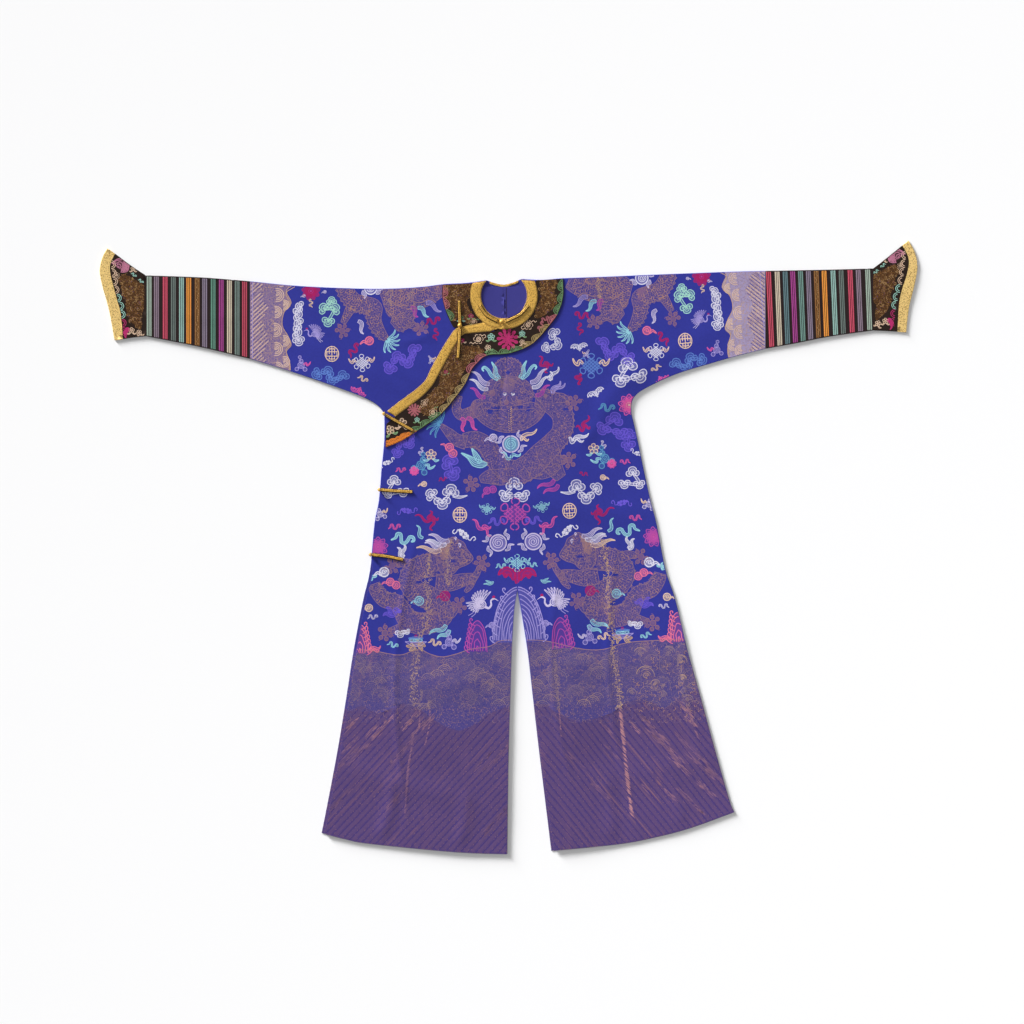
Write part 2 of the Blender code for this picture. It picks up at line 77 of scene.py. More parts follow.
# ---- Threads ----
class Thread(Enum):
    """Silk and metal threads by their dyed colour."""

    GROUND = "#2A2F8C"
    LINING = "#36347E"
    MAUVE = "#4C4185"
    HEM = "#513E70"
    SMOKE = "#4A417F"
    HEATHER = "#77648E"
    ROSE = "#8E636E"
    COPPER = "#B18465"
    GOLD = "#C7A270"
    BRIGHT_GOLD = "#D2A64F"
    PALE_GOLD = "#E4C37C"
    BRONZE = "#6A451E"
    MOSS = "#5E8058"
    DUSK = "#A85F68"
    ROSY = "#B4708A"
    SAND = "#9E875A"
    DARK = "#21130C"
    PALE = "#C0B6D6"
    WHITE = "#CDCADC"
    LAVENDER = "#988CC9"
    AQUA = "#8EC4D1"
    MINT = "#9DCEBF"
    TEAL = "#538EB5"
    VIOLET = "#6350C6"
    BLUE = "#597CC4"
    PINK = "#CD5198"
    MAGENTA = "#A94498"
    CRIMSON = "#9E155A"
    ROUGE = "#B02A66"
    CORAL = "#DB6C8A"
    WORN = "#BC8688"
    CREAM = "#DBBBA0"
    GREEN = "#7A9D70"
    INDIGO = "#2B2270"
    ORANGE = "#CD742B"
    BROWN = "#211314"


T = Thread  # the threads' short name in the tables

# How much of a form's ground these threads cover, and the shares of metal in others.
DENSE_THREADS = {T.CRIMSON: 0.6, T.VIOLET: 0.35, T.ROUGE: 0.8, T.ORANGE: 0.3}
METAL_THREADS = {T.MAUVE: 1.0, T.HEM: 0.4, T.SMOKE: 0.65, T.HEATHER: 0.8, T.BRONZE: 1.0}


def linear(code: str) -> tuple[float, float, float]:
    """The linear colour of an sRGB code such as #2A1C16."""
    channels = [int(code[start:start + 2], 16) / 255 for start in (1, 3, 5)]
    return tuple(c / 12.92 if c <= 0.04045 else ((c + 0.055) / 1.055) ** 2.4 for c in channels)


def dye(thread: Thread, share: float = 1.0, over: Thread = T.GROUND) -> Colour:
    """A thread's colour, thinned over another, with its share of metal as the fourth number.

    Args:
        thread: The thread that shows.
        share: How much of it covers the one below.
        over: The thread below.

    Returns:
        Red, green, blue and the metal share.
    """
    top, below = linear(thread.value), linear(over.value)
    metal = METAL_THREADS.get(thread, 0.0)
    return (*(t * share + b * (1 - share) for t, b in zip(top, below)), metal)


# ---- Plane geometry ----
SPIRAL_FEWEST = 7  # points on the shortest spiral
SPIRAL_PER_TURN = 11
SPIRAL_END = 0.12  # a spiral's last radius by its first
POINTS_AT_ONCE = 8000  # how many distances are worked out together
FACE_SLACK = 0.2 * MM  # how far a corner may be from the face that it is taken to lie in


def smooth(points: Sequence, per: int = 5, closed: bool = False) -> Points:
    """A Catmull-Rom curve.

    Args:
        points: The points that the curve runs through.
        per: New points on each stretch.
        closed: Whether the end runs on into the start.

    Returns:
        The curve's points.
    """
    given = np.asarray(points, float)
    if closed:
        ring = np.vstack([given[-1], given, given[:2]])
    else:
        ring = np.vstack([given[0], given, given[-1]])
    a, b, c, d = (ring[k:len(ring) - 3 + k, None, :] for k in range(4))
    t = (np.arange(per) / per)[None, :, None]
    curve = 0.5 * (2 * b + (c - a) * t + (2 * a - 5 * b + 4 * c - d) * t ** 2
            + (3 * b - a - 3 * c + d) * t ** 3)
    curve = curve.reshape(-1, given.shape[1])
    return curve if closed else np.vstack([curve, given[-1]])


def evenly(line: Points, spacing: float) -> Points:
    """The same line with points at even distances."""
    steps = np.linalg.norm(np.diff(line[:, :2], axis=0), axis=1)
    along = np.concatenate([[0.0], np.cumsum(steps)])
    count = max(2, int(round(along[-1] / spacing)) + 1)
    at = np.linspace(0, along[-1], count)
    return np.stack([np.interp(at, along, column) for column in line.T], 1)


def polar(radius: float | np.ndarray, angle: np.ndarray, centre: Sequence) -> Points:
    """Points at angles, in radians, about a centre."""
    return np.stack([centre[0] + radius * np.cos(angle), centre[1] + radius * np.sin(angle)], 1)


def heading(degrees: float) -> np.ndarray:
    """The unit vector in a direction."""
    return np.array([math.cos(math.radians(degrees)), math.sin(math.radians(degrees))])


def circle(radius: float, count: int, centre: Sequence = (0.0, 0.0)) -> Points:
    """Points round a circle, without the closing one."""
    return polar(radius, np.arange(count) * math.tau / count, centre)


def arc(radius: float, start: float, end: float, count: int, centre: Sequence = (0.0, 0.0)) -> Points:
    """Points along an arc, angles in degrees."""
    return polar(radius, np.radians(np.linspace(start, end, count)), centre)


def spiral(radius: float, turns: float, start: float = 0.0, centre: Sequence = (0.0, 0.0)) -> Points:
    """A spiral from its rim to near its middle. Negative turns run clockwise."""
    share = np.linspace(0, 1, max(SPIRAL_FEWEST, int(abs(turns) * SPIRAL_PER_TURN)))
    angle = math.radians(start) + share * turns * math.tau
    return polar(radius * (1 - share * (1 - SPIRAL_END)), angle, centre)


def signed_distance(points: Points, polygon: Points) -> np.ndarray:
    """Distance of each point to a closed outline, positive inside it."""
    start = polygon[None]
    run = np.roll(polygon, -1, axis=0)[None] - start
    length = np.maximum((run ** 2).sum(2), 1e-16)
    found = np.empty(len(points))
    for low in range(0, len(points), POINTS_AT_ONCE):
        part = slice(low, low + POINTS_AT_ONCE)
        at = points[part, None, :] - start
        share = np.clip((at * run).sum(2) / length, 0, 1)
        gap = np.sqrt(((at - share[..., None] * run) ** 2).sum(2).min(1))
        above = at[..., 1] < 0
        crossing = above != (at[..., 1] - run[..., 1] < 0)
        side = at[..., 0] * run[..., 1] - at[..., 1] * run[..., 0]
        inside = (crossing & ((side < 0) == (run[..., 1] > 0))).sum(1) % 2 == 1
        found[part] = np.where(inside, gap, -gap)
    return found


def surface_outline(node: str, up: bool = True) -> Points:
    """The outline in plan of a CAD node's top or bottom face.

    Args:
        node: The node's name.
        up: Whether the top face is meant.

    Returns:
        The outline's points in order, counter-clockwise.
    """
    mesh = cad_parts[node].data
    mesh.calc_loop_triangles()
    floor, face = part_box(node)[0][2], shell_height(node)
    edges: dict[tuple, None] = {}
    for triangle in mesh.loop_triangles:
        corners = np.array([mesh.vertices[index].co for index in triangle.vertices])
        wanted = face(corners[:, 0]) if up else floor
        if np.abs(corners[:, 2] - wanted).max() > FACE_SLACK:
            continue
        keys = [(round(x, 5), round(y, 5)) for x, y, _ in corners.tolist()]
        if not up:
            keys.reverse()
        for start, end in zip(keys, keys[1:] + keys[:1]):
            if (end, start) in edges:
                del edges[(end, start)]
            elif start != end:
                edges[(start, end)] = None
    following, loops = dict(edges.keys()), []
    while following:
        start, end = following.popitem()
        loop = [start]
        while end in following:
            loop.append(end)
            end = following.pop(end)
        loops.append(loop)
    return np.array(max(loops, key=len))


def shell_height(node: str) -> Callable[[np.ndarray], np.ndarray]:
    """The height of a panel's top face over the plan, from its box and the left front's ramp."""
    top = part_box(node)[1][2]
    if node != "left_length":
        return lambda x: np.full(len(x), top)
    return lambda x: top - LAYER * np.clip((x - RAMP_START) / (RAMP_END - RAMP_START), 0, 1)


# ---- Creases ----
@dataclass(frozen=True)
class Crease:
    """A soft ridge, or a trough where it rises by less than nothing."""

    start: tuple[float, float]
    end: tuple[float, float]
    width: float
    rise: float
    BEND = 0.06  # how far it bows aside, by its length
    EVEN = 0.35  # it keeps its height this far from its middle, by its length
    FADE = 0.03  # how slowly it dies out past that

    def height(self, x: np.ndarray, y: np.ndarray) -> np.ndarray:
        """Its own height over the plan."""
        (x0, y0), (x1, y1) = self.start, self.end
        run = np.array([x1 - x0, y1 - y0])
        length = np.hypot(*run)
        along = ((x - x0) * run[0] + (y - y0) * run[1]) / length ** 2
        across = ((x - x0) * run[1] - (y - y0) * run[0]) / length
        bend = self.BEND * length * np.sin(np.clip(along, 0, 1) * math.pi)
        ends = np.exp(-np.maximum(np.abs(along - 0.5) - self.EVEN, 0) ** 2 / self.FADE)
        return self.rise * ends * np.exp(-((across - bend) / (0.5 * self.width)) ** 2)


class Drape:
    """How far the laid cloth rises and sinks over the plan, in metres."""

    LOW = 0.0006  # below this height nothing moves
    FULL = 0.0042  # from this height the whole rise counts
    LEAST, MEAN, MOST = -1.2 * MM, 0.75, 6 * MM

    def __init__(self, creases: Iterable[Crease]) -> None:
        """Takes the creases, in metres."""
        self.creases = tuple(creases)

    def field(self, x: np.ndarray, y: np.ndarray) -> np.ndarray:
        """The rise of the uppermost layer."""
        wave = 0.5 * np.sin(9.1 * x + 4.0 * y + 0.6) * np.sin(6.3 * y - 3.1 * x + 1.9)
        wave += 0.4 * np.sin(17.0 * x - 7.7 * y + 2.2) * np.sin(11.0 * y + 0.4)
        wave += 0.22 * np.sin(31.0 * y + 12.0 * x + 1.5 * np.sin(14.0 * x)) * np.sin(19.0 * x - 9.0 * y)
        rise = (self.MEAN + wave) * MM
        for crease in self.creases:
            rise = rise + crease.height(x, y)
        return np.clip(rise, self.LEAST, self.MOST)

    def apply(self, places: Points) -> Points:
        """Moves places up or down, the ground's own not at all."""
        share = np.maximum(places[:, 2] - self.LOW, 0) / (self.FULL - self.LOW)
        moved = places.copy()
        moved[:, 2] += share * self.field(places[:, 0], places[:, 1])
        return moved


CREASES = (
    # the plain stretch by the right armpit and the wrinkles at the chest corner
    Crease((-0.300, 0.470), (-0.205, 0.395), 0.030, 1.9 * MM),
    Crease((-0.340, 0.450), (-0.240, 0.372), 0.026, 1.3 * MM),
    Crease((-0.255, 0.500), (-0.190, 0.520), 0.020, 1.5 * MM),
    Crease((-0.215, 0.560), (-0.180, 0.500), 0.016, 1.4 * MM),
    Crease((-0.190, 0.545), (-0.165, 0.500), 0.012, -0.8 * MM),
    Crease((-0.480, 0.520), (-0.330, 0.400), 0.045, 1.2 * MM),
    Crease((-0.600, 0.560), (-0.430, 0.470), 0.050, 1.0 * MM),
    Crease((-0.860, 0.590), (-0.650, 0.560), 0.030, 0.9 * MM),
    # the left armpit
    Crease((0.330, 0.420), (0.215, 0.330), 0.040, 2.0 * MM),
    Crease((0.300, 0.370), (0.180, 0.250), 0.035, 1.5 * MM),
    Crease((0.420, 0.480), (0.260, 0.400), 0.045, 1.4 * MM),
    Crease((0.640, 0.560), (0.440, 0.500), 0.050, 1.1 * MM),
    Crease((0.870, 0.610), (0.680, 0.580), 0.030, 0.9 * MM),
    # long folds left by storing the robe folded lengthwise
    Crease((-0.226, 0.020), (-0.248, -0.640), 0.014, 1.1 * MM),
    Crease((0.262, 0.010), (0.302, -0.640), 0.014, 1.1 * MM),
    Crease((0.120, -0.060), (0.150, -0.560), 0.012, 0.7 * MM),
    Crease((0.430, -0.100), (0.480, -0.560), 0.016, 0.8 * MM),
    # across the body and the skirts
    Crease((-0.270, 0.110), (0.000, 0.060), 0.060, 0.9 * MM),
    Crease((0.040, 0.130), (0.320, 0.080), 0.060, 1.0 * MM),
    Crease((-0.370, -0.300), (-0.060, -0.330), 0.070, 1.0 * MM),
    Crease((0.120, -0.280), (0.440, -0.250), 0.070, 1.1 * MM),
    Crease((-0.400, -0.520), (-0.120, -0.600), 0.060, 1.1 * MM),
    Crease((0.180, -0.560), (0.500, -0.500), 0.060, 1.0 * MM),
    Crease((-0.310, -0.700), (-0.280, -0.560), 0.035, 1.6 * MM),
    Crease((-0.120, -0.720), (-0.105, -0.600), 0.035, 1.3 * MM),
    Crease((0.250, -0.700), (0.235, -0.570), 0.035, 1.5 * MM),
    Crease((0.420, -0.670), (0.390, -0.560), 0.035, 1.3 * MM),
    # the centre seam, drawn in a little
    Crease((-0.002, 0.470), (0.021, -0.090), 0.010, -0.7 * MM),
)


# ---- Building meshes ----
class MeshBuilder:
    """Gathers points and coloured faces for one object."""

    def __init__(self) -> None:
        """Starts empty."""
        self.places: list[Points] = []
        self.faces: list[list[int]] = []
        self.colours: list[Colour] = []
        self.slots: list[int] = []
        self.count = 0

    def add(self, places: Points, faces: Iterable[Sequence[int]], colour: Colour | list,
            slot: int = 0) -> None:
        """Adds faces on new points.

        Args:
            places: The points, in metres.
            faces: Corner numbers, counted from these points' first.
            colour: One colour, or one for each face.
            slot: The material's place on the object.
        """
        faces = list(faces)
        self.places.append(np.asarray(places, float))
        self.faces.extend([index + self.count for index in face] for face in faces)
        self.colours.extend(colour if isinstance(colour, list) else [colour] * len(faces))
        self.slots.extend([slot] * len(faces))
        self.count += len(places)

    def build(self, name: str, materials: Sequence[bpy.types.Material]) -> bpy.types.Object:
        """Makes the object, with its colours in the attribute named dye.

        Args:
            name: The object's name.
            materials: Its materials, in the order of the slots.

        Returns:
            The object, linked to the scene.
        """
        mesh = bpy.data.meshes.new(name)
        mesh.from_pydata(np.vstack(self.places).tolist(), [], self.faces)
        for material in materials:
            mesh.materials.append(material)
        mesh.polygons.foreach_set("material_index", np.array(self.slots, np.int32))
        counts = np.array([len(face) for face in self.faces])
        colours = np.repeat(np.array(self.colours, np.float32), counts, axis=0)
        layer = mesh.color_attributes.new("dye", "FLOAT_COLOR", "CORNER")
        layer.data.foreach_set("color", colours.ravel())
        mesh.polygons.foreach_set("use_smooth", np.full(len(self.faces), True))
        mesh.update()
        piece = bpy.data.objects.new(name, mesh)
        bpy.context.scene.collection.objects.link(piece)
        return piece


# ---- Needlework ----
class Taper(Enum):
    """Where a thread runs to a point."""

    NONE = "none"
    END = "end"
    BOTH = "both"


@dataclass(frozen=True)
class Stroke:
    """One laid line of thread, in millimetres."""

    line: Points
    width: np.ndarray
    colour: Colour
    lift: float
    fine: bool


@dataclass(frozen=True)
class Patch:
    """An area woven in one colour, in millimetres."""

    outline: Points
    colour: Colour


@dataclass
class Needlework:
    """All the ornament of one kind of piece, in millimetres in plan."""

    ground: Thread = T.GROUND
    strokes: list[Stroke] = field(default_factory=list)
    patches: list[Patch] = field(default_factory=list)


def seam_mirror() -> np.ndarray:
    """The affine map, in millimetres, that mirrors the plan about the robe's centre seam."""
    top, foot = np.array(SEAM_TOP) / MM, np.array(SEAM_FOOT) / MM
    along = (foot - top) / np.linalg.norm(foot - top)
    turn = 2 * np.outer(along, along) - np.eye(2)
    return np.column_stack([turn, top - turn @ top])


TAPERED = 0.85  # how much of its width a thread loses at a point
POINT = 0.15  # and what is left there
FORM_COVER = 0.16  # how much of the ground a form's inside covers
BAND_COVER = 0.2
DISC_COVER = 0.35
INNER_LINE_ROOM = 4.5  # how broad a band is for each line inside it


class Hoop:
    """A motif's own axes, which place its drawing on the cloth, once or as a mirrored pair."""

    def __init__(self, work: Needlework, at: tuple[float, float] = (0.0, 0.0), turn: float = 0.0,
            size: float = 1.0, flip: bool = False, pair: bool = False) -> None:
        """Sets the axes.

        Args:
            work: Where the drawing goes.
            at: The motif's middle, in millimetres.
            turn: Its turn in degrees.
            size: Its scale.
            flip: Whether it is mirrored left to right.
            pair: Whether it is drawn again on the other side of the centre seam.
        """
        self.work = work
        self.size = size
        c, s = math.cos(math.radians(turn)) * size, math.sin(math.radians(turn)) * size
        sign = -1 if flip else 1
        own = np.array([[c * sign, -s, at[0]], [s * sign, c, at[1]]])
        self.maps = [own]
        if pair:
            mirror = seam_mirror()
            self.maps.append(np.column_stack([mirror[:, :2] @ own[:, :2],
                    mirror[:, :2] @ own[:, 2] + mirror[:, 2]]))

    def thin(self, thread: Thread, share: float) -> Colour:
        """A thread's colour where the work's own ground shows through it."""
        return dye(thread, share, self.work.ground)

    def cover(self, thread: Thread, share: float) -> Colour:
        """The same, with a dense thread's own share."""
        return self.thin(thread, DENSE_THREADS.get(thread, share))

    def placed(self, points: Sequence) -> list[Points]:
        """The points on the cloth, once for each copy."""
        given = np.asarray(points, float)
        return [given @ one[:, :2].T + one[:, 2] for one in self.maps]

    def line(self, points: Sequence, width: float | Sequence, thread: Thread | Colour,
            taper: Taper = Taper.NONE, closed: bool = False, fine: bool = False,
            lift: float = 0.16) -> None:
        """Lays a thread.

        Args:
            points: Its line.
            width: Its width, or widths along it.
            thread: Its colour.
            taper: Where it runs to a point.
            closed: Whether it ends where it starts.
            fine: Whether it is left off the back.
            lift: How far it rises over the cloth.
        """
        given = np.asarray(points, float)
        if closed:
            given = np.vstack([given, given[:1]])
        share = np.linspace(0, 1, len(given))
        if np.ndim(width):
            widths = np.interp(share, np.linspace(0, 1, len(width)), width)
        else:
            widths = np.full(len(given), float(width))
        if taper is Taper.END:
            widths = widths * (1 - TAPERED * share)
        elif taper is Taper.BOTH:
            widths = widths * (POINT + TAPERED * np.sin(math.pi * share) ** 0.6)
        colour = dye(thread) if isinstance(thread, Thread) else thread
        for placed in self.placed(given):
            self.work.strokes.append(Stroke(placed, widths * self.size, colour, lift, fine))

    def fill(self, outline: Sequence, thread: Thread | Colour) -> None:
        """Weaves an area in one colour."""
        colour = dye(thread) if isinstance(thread, Thread) else thread
        for placed in self.placed(outline):
            self.work.patches.append(Patch(placed, colour))

    def edged(self, outline: Sequence, inside: Colour, width: float, thread: Thread | Colour,
            lift: float = 0.16) -> None:
        """Weaves an area in one colour and edges it in another."""
        self.fill(outline, inside)
        self.line(outline, width, thread, closed=True, lift=lift)

    def shape(self, outline: Sequence, thread: Thread, rings: Sequence[float] = (0.48,), per: int = 4,
            edge: float = 1.9) -> None:
        """A form drawn in lines: its edge and more lines that follow it inwards, with the ground between.

        Args:
            outline: Its corners, smoothed.
            thread: Its colour.
            rings: The scale of each inner line.
            per: Points on each stretch.
            edge: The edge's width.
        """
        form = smooth(outline, per, closed=True) if per > 1 else np.asarray(outline, float)
        centre = form.mean(0)
        self.edged(form, self.cover(thread, FORM_COVER), edge, thread)
        for number, share in enumerate(rings):
            self.line(centre + (form - centre) * share, edge * 0.85, thread, closed=True, fine=number > 0)

    def tongue(self, path: Sequence, widths: Sequence[float], thread: Thread, inner: int = 1,
            edge: float = 1.6) -> None:
        """A band of changing width, edged in its thread, with more lines along it where it is broad.

        Args:
            path: Its middle line, smoothed.
            widths: Its widths along the line.
            thread: Its colour.
            inner: How many lines run along its inside.
            edge: The edge's width.
        """
        form, middle, width = band(path, widths)
        self.edged(form, self.cover(thread, BAND_COVER), edge, thread)
        for row in range(min(inner, int(width.max() / INNER_LINE_ROOM))):
            off = (row + 1) / (inner + 1) - 0.5
            self.line(middle + normals(middle) * (width * off)[:, None], 1.2, thread, Taper.BOTH, fine=True)


def normals(line: Points) -> Points:
    """Unit normals, to the left of the way the line runs."""
    run = np.gradient(line, axis=0)
    run /= np.maximum(np.linalg.norm(run, axis=1, keepdims=True), TINY)
    return np.column_stack([-run[:, 1], run[:, 0]])


def band(path: Sequence, widths: Sequence[float], per: int = 5) -> tuple[Points, Points, np.ndarray]:
    """A band's outline, its middle line and its width along it."""
    middle = smooth(path, per)
    share = np.linspace(0, 1, len(middle))
    width = np.interp(share, np.linspace(0, 1, len(widths)), widths)
    side = normals(middle) * (width / 2)[:, None]
    return np.vstack([middle + side, (middle - side)[::-1]]), middle, width


ROW_SHARE = 0.866  # a grid's row spacing by its column spacing
GRID_GAP = 0.4  # the share of a step that stays free along the outline
SAME_POINT = 1e-6


def lay_grid(outline: Points, step: float, lines: Sequence[Points]) -> tuple[Points, np.ndarray,
        np.ndarray]:
    """Fills an outline with evenly spaced points and joins them up, along given lines too.

    Args:
        outline: The closed outline.
        step: Spacing of the points inside.
        lines: Closed outlines that the triangles mustn't cross.

    Returns:
        The points, the triangles and the numbers of the outline's points in order.
    """
    low, high = outline.min(0), outline.max(0)
    columns = np.arange(low[0] + step / 2, high[0], step)
    rows = np.arange(low[1] + step / 2, high[1], step * ROW_SHARE)
    grid_x, grid_y = np.meshgrid(columns, rows)
    grid_x[1::2] += step / 2
    inner = np.stack([grid_x.ravel(), grid_y.ravel()], 1)
    inner = inner[signed_distance(inner, outline) > step * GRID_GAP]
    edges, start = [], 0
    for loop in (outline, *lines):
        count = len(loop)
        edges += [(start + index, start + (index + 1) % count) for index in range(count)]
        start += count
    points = np.vstack([outline, *lines, inner])
    found = delaunay_2d_cdt([Vector(p) for p in points], edges, [], 0, SAME_POINT)
    places = np.array([tuple(p) for p in found[0]])
    triangles = np.array([list(face) for face in found[2]])
    middles = places[triangles].mean(1)
    triangles = triangles[signed_distance(middles, outline) > 0]
    a, b, c = (places[triangles[:, k]] for k in range(3))
    turned = (b[:, 0] - a[:, 0]) * (c[:, 1] - a[:, 1]) < (b[:, 1] - a[:, 1]) * (c[:, 0] - a[:, 0])
    triangles[turned] = triangles[turned][:, ::-1]
    order = np.zeros(len(outline), int)
    for new, olds in enumerate(found[3]):
        for old in olds:
            if old < len(outline):
                order[old] = new
    used = np.zeros(len(places), bool)
    used[triangles] = True
    used[order] = True
    number = np.cumsum(used) - 1
    return places[used], number[triangles], number[order]


HIDDEN_STEP = 2.2  # how much coarser a shell's hidden side is
CORNER_STEP = 0.9  # spacing of an outline's points by the step
EDGE_LIFT = 0.02  # a crowned thread's edges over the cloth, in millimetres
FLAT_LIFT = 0.1  # a flat thread over the cloth, in millimetres
CROWN_REACH = 4 * MM  # an edge rolls down over this width
LARGE_PATCH = 0.12  # a patch of this size is always taken to reach a piece
RIM_BULGE = 0.3 * MM
RIM_INSET = 1.5 * MM  # a rim takes its colour this far inside
FRONT_SPACING = 5.0  # the longest stretch of a thread on the front, in millimetres
BACK_SPACING = 8.0
EDGE_MARGIN = 0.4 * MM  # threads stop this far inside an edge
HIDDEN_REACH = 6 * MM  # and go on this far under the piece above
ABOVE = 0.05  # a height over everything
NEAR_FACE = 0.003
STRETCHABLE = 1.3  # a stretch may be this much too long
SHORTEST = 0.4  # the shortest thread that is laid, in millimetres


@dataclass
class Shell:
    """A thin cloth on one face of the robe: a top, an underside and a soft rim."""

    outline: Points
    top: Callable[[np.ndarray], np.ndarray]
    step: float
    drape: Drape
    wall: float = WALL
    faces_down: bool = False
    crown: float = 0.0
    upper_rim: Points = field(default=None, repr=False)
    lower_rim: Points = field(default=None, repr=False)
    tree: BVHTree = field(default=None, repr=False)

    def __post_init__(self) -> None:
        """Brings the outline's corners close enough together and turns it counter-clockwise."""
        loop = self.outline if _area(self.outline) > 0 else self.outline[::-1]
        spans = []
        for start, end in zip(loop, np.roll(loop, -1, axis=0)):
            count = max(1, int(math.ceil(np.linalg.norm(end - start) / (self.step * CORNER_STEP))))
            spans.append(start + (end - start) * (np.arange(count) / count)[:, None])
        self.outline = np.vstack(spans)

    def build_into(self, builder: MeshBuilder, face: Colour, lining: Colour, patches: Sequence[Patch] = (),
            turned: Sequence[Patch] = ()) -> None:
        """Adds the cloth.

        Args:
            builder: Where it goes.
            face: Colour of the side that shows.
            lining: Colour of the other side.
            patches: Areas of other colours on the face, the later over the earlier.
            turned: Areas of other colours on the lining's side.
        """
        for hidden, tone, marks in ((False, face, patches), (True, lining, turned)):
            marks = [mark for mark in marks if self._reaches(mark)]
            step = self.step * (HIDDEN_STEP if hidden else 1)
            plan, triangles, order = lay_grid(self.outline, step, [mark.outline * MM for mark in marks])
            below = hidden != self.faces_down
            high = self._level(plan) - (self.wall if below else 0)
            surface = self.drape.apply(np.column_stack([plan, high]))
            faces = triangles[:, ::-1] if below else triangles
            builder.add(surface, faces.tolist(), self._shades(plan[triangles].mean(1), tone, marks),
                    int(hidden))
            if below:
                self.lower_rim = surface[order]
            else:
                self.upper_rim = surface[order]
            if not hidden:
                self.tree = BVHTree.FromPolygons(surface.tolist(), triangles.tolist())
        self._add_rim(builder, face, [mark for mark in patches if self._reaches(mark)])

    def _level(self, plan: Points) -> np.ndarray:
        """The height of the cloth's upper surface at places in plan."""
        if self.faces_down:
            return np.full(len(plan), UNDERSIDE_RELIEF + self.wall)
        high = self.top(plan[:, 0])
        if self.crown:
            depth = np.minimum(signed_distance(plan, self.outline) / CROWN_REACH, 1)
            high = high - self.crown * (1 - np.sin(depth * math.pi / 2))
        return high

    def _reaches(self, patch: Patch) -> bool:
        """Whether a patch's box meets the outline's and some of it lies inside."""
        low, high = patch.outline.min(0) * MM, patch.outline.max(0) * MM
        if (low > self.outline.max(0)).any() or (high < self.outline.min(0)).any():
            return False
        if (high - low).max() > LARGE_PATCH:
            return True
        return bool((signed_distance(patch.outline * MM, self.outline) > -MM).any())

    @staticmethod
    def _shades(middles: Points, face: Colour, patches: Sequence[Patch]) -> list[Colour]:
        """The colour of each triangle by the last patch that it lies in."""
        shades = np.tile(np.array(face), (len(middles), 1))
        for patch in patches:
            outline = patch.outline * MM
            near = ((middles > outline.min(0)) & (middles < outline.max(0))).all(1)
            index = np.flatnonzero(near)
            if len(index):
                inside = index[signed_distance(middles[index], outline) > 0]
                shades[inside] = patch.colour
        return [tuple(shade) for shade in shades.tolist()]

    def _add_rim(self, builder: MeshBuilder, face: Colour, patches: Sequence[Patch]) -> None:
        """Adds the rounded edge between top and underside, in the colours just inside it."""
        upper, lower = self.upper_rim, self.lower_rim
        middle = (upper + lower) / 2 + outward(upper) * RIM_BULGE
        count = len(upper)
        shades = np.repeat(self._shades((upper - outward(upper) * RIM_INSET)[:, :2], face, patches), 2,
                axis=0)
        faces = []
        for index in range(count):
            after = (index + 1) % count
            for level in (0, count):
                faces.append([level + count + index, level + count + after, level + after, level + index])
        builder.add(np.vstack([upper, middle, lower]), faces, shades.tolist())

    def lay(self, builder: MeshBuilder, work: Needlework, holes: Sequence[Points], detail: bool) -> None:
        """Lays a needlework's threads on the face, cut off at the edges.

        Args:
            builder: Where the threads go.
            work: The drawing.
            holes: Outlines under which nothing shows.
            detail: Whether the fine lines are laid too.
        """
        low, high = self.outline.min(0) / MM, self.outline.max(0) / MM
        chosen = [stroke for stroke in work.strokes if (detail or not stroke.fine)
                and (stroke.line.max(0) > low).all() and (stroke.line.min(0) < high).all()]
        if not chosen:
            return
        chosen = [_dense(stroke, FRONT_SPACING if detail else BACK_SPACING) for stroke in chosen]
        points = np.vstack([line for line, _, _ in chosen]) * MM
        half = np.concatenate([width for _, width, _ in chosen]) * MM / 2
        depth = signed_distance(points, self.outline) - half - EDGE_MARGIN
        for hole in holes:
            depth = np.minimum(depth, HIDDEN_REACH - signed_distance(points, hole))
        start = 0
        for line, width, stroke in chosen:
            clear = depth[start:start + len(line)]
            start += len(line)
            for piece, wide in _kept(line, width, clear):
                self._ribbon(builder, piece * MM, wide * MM, stroke)

    def _ribbon(self, builder: MeshBuilder, line: Points, width: np.ndarray, stroke: Stroke) -> None:
        """Adds one thread: a crowned ribbon, or a flat one where it is fine or underneath."""
        side = normals(line) * (width / 2)[:, None]
        rows = []
        down = -1.0 if self.faces_down else 1.0
        flat = ((1.0, FLAT_LIFT), (-1.0, FLAT_LIFT))
        crowned = ((1.0, EDGE_LIFT), (0.0, stroke.lift), (-1.0, EDGE_LIFT))
        for share, lift in flat if stroke.fine or self.faces_down else crowned:
            row = line + side * share
            heights = [self._height(x, y) + down * lift * MM for x, y in row]
            rows.append(np.column_stack([row, heights]))
        count = len(line)
        faces = []
        for level in range(0, count * (len(rows) - 1), count):
            for index in range(count - 1):
                quad = [level + index, level + count + index, level + count + index + 1, level + index + 1]
                faces.append(quad[::-1] if self.faces_down else quad)
        builder.add(np.vstack(rows), faces, stroke.colour)

    def _height(self, x: float, y: float) -> float:
        """The face's height at a place."""
        found = self.tree.ray_cast((x, y, ABOVE), (0.0, 0.0, -1.0))
        if found[0] is None:
            found = self.tree.find_nearest((x, y, NEAR_FACE))
        return found[0].z


def outward(loop: Points) -> Points:
    """Level unit vectors that point out of a counter-clockwise loop."""
    run = np.roll(loop, -1, axis=0) - np.roll(loop, 1, axis=0)
    out = np.column_stack([run[:, 1], -run[:, 0], np.zeros(len(run))])
    return out / np.maximum(np.linalg.norm(out, axis=1, keepdims=True), TINY)


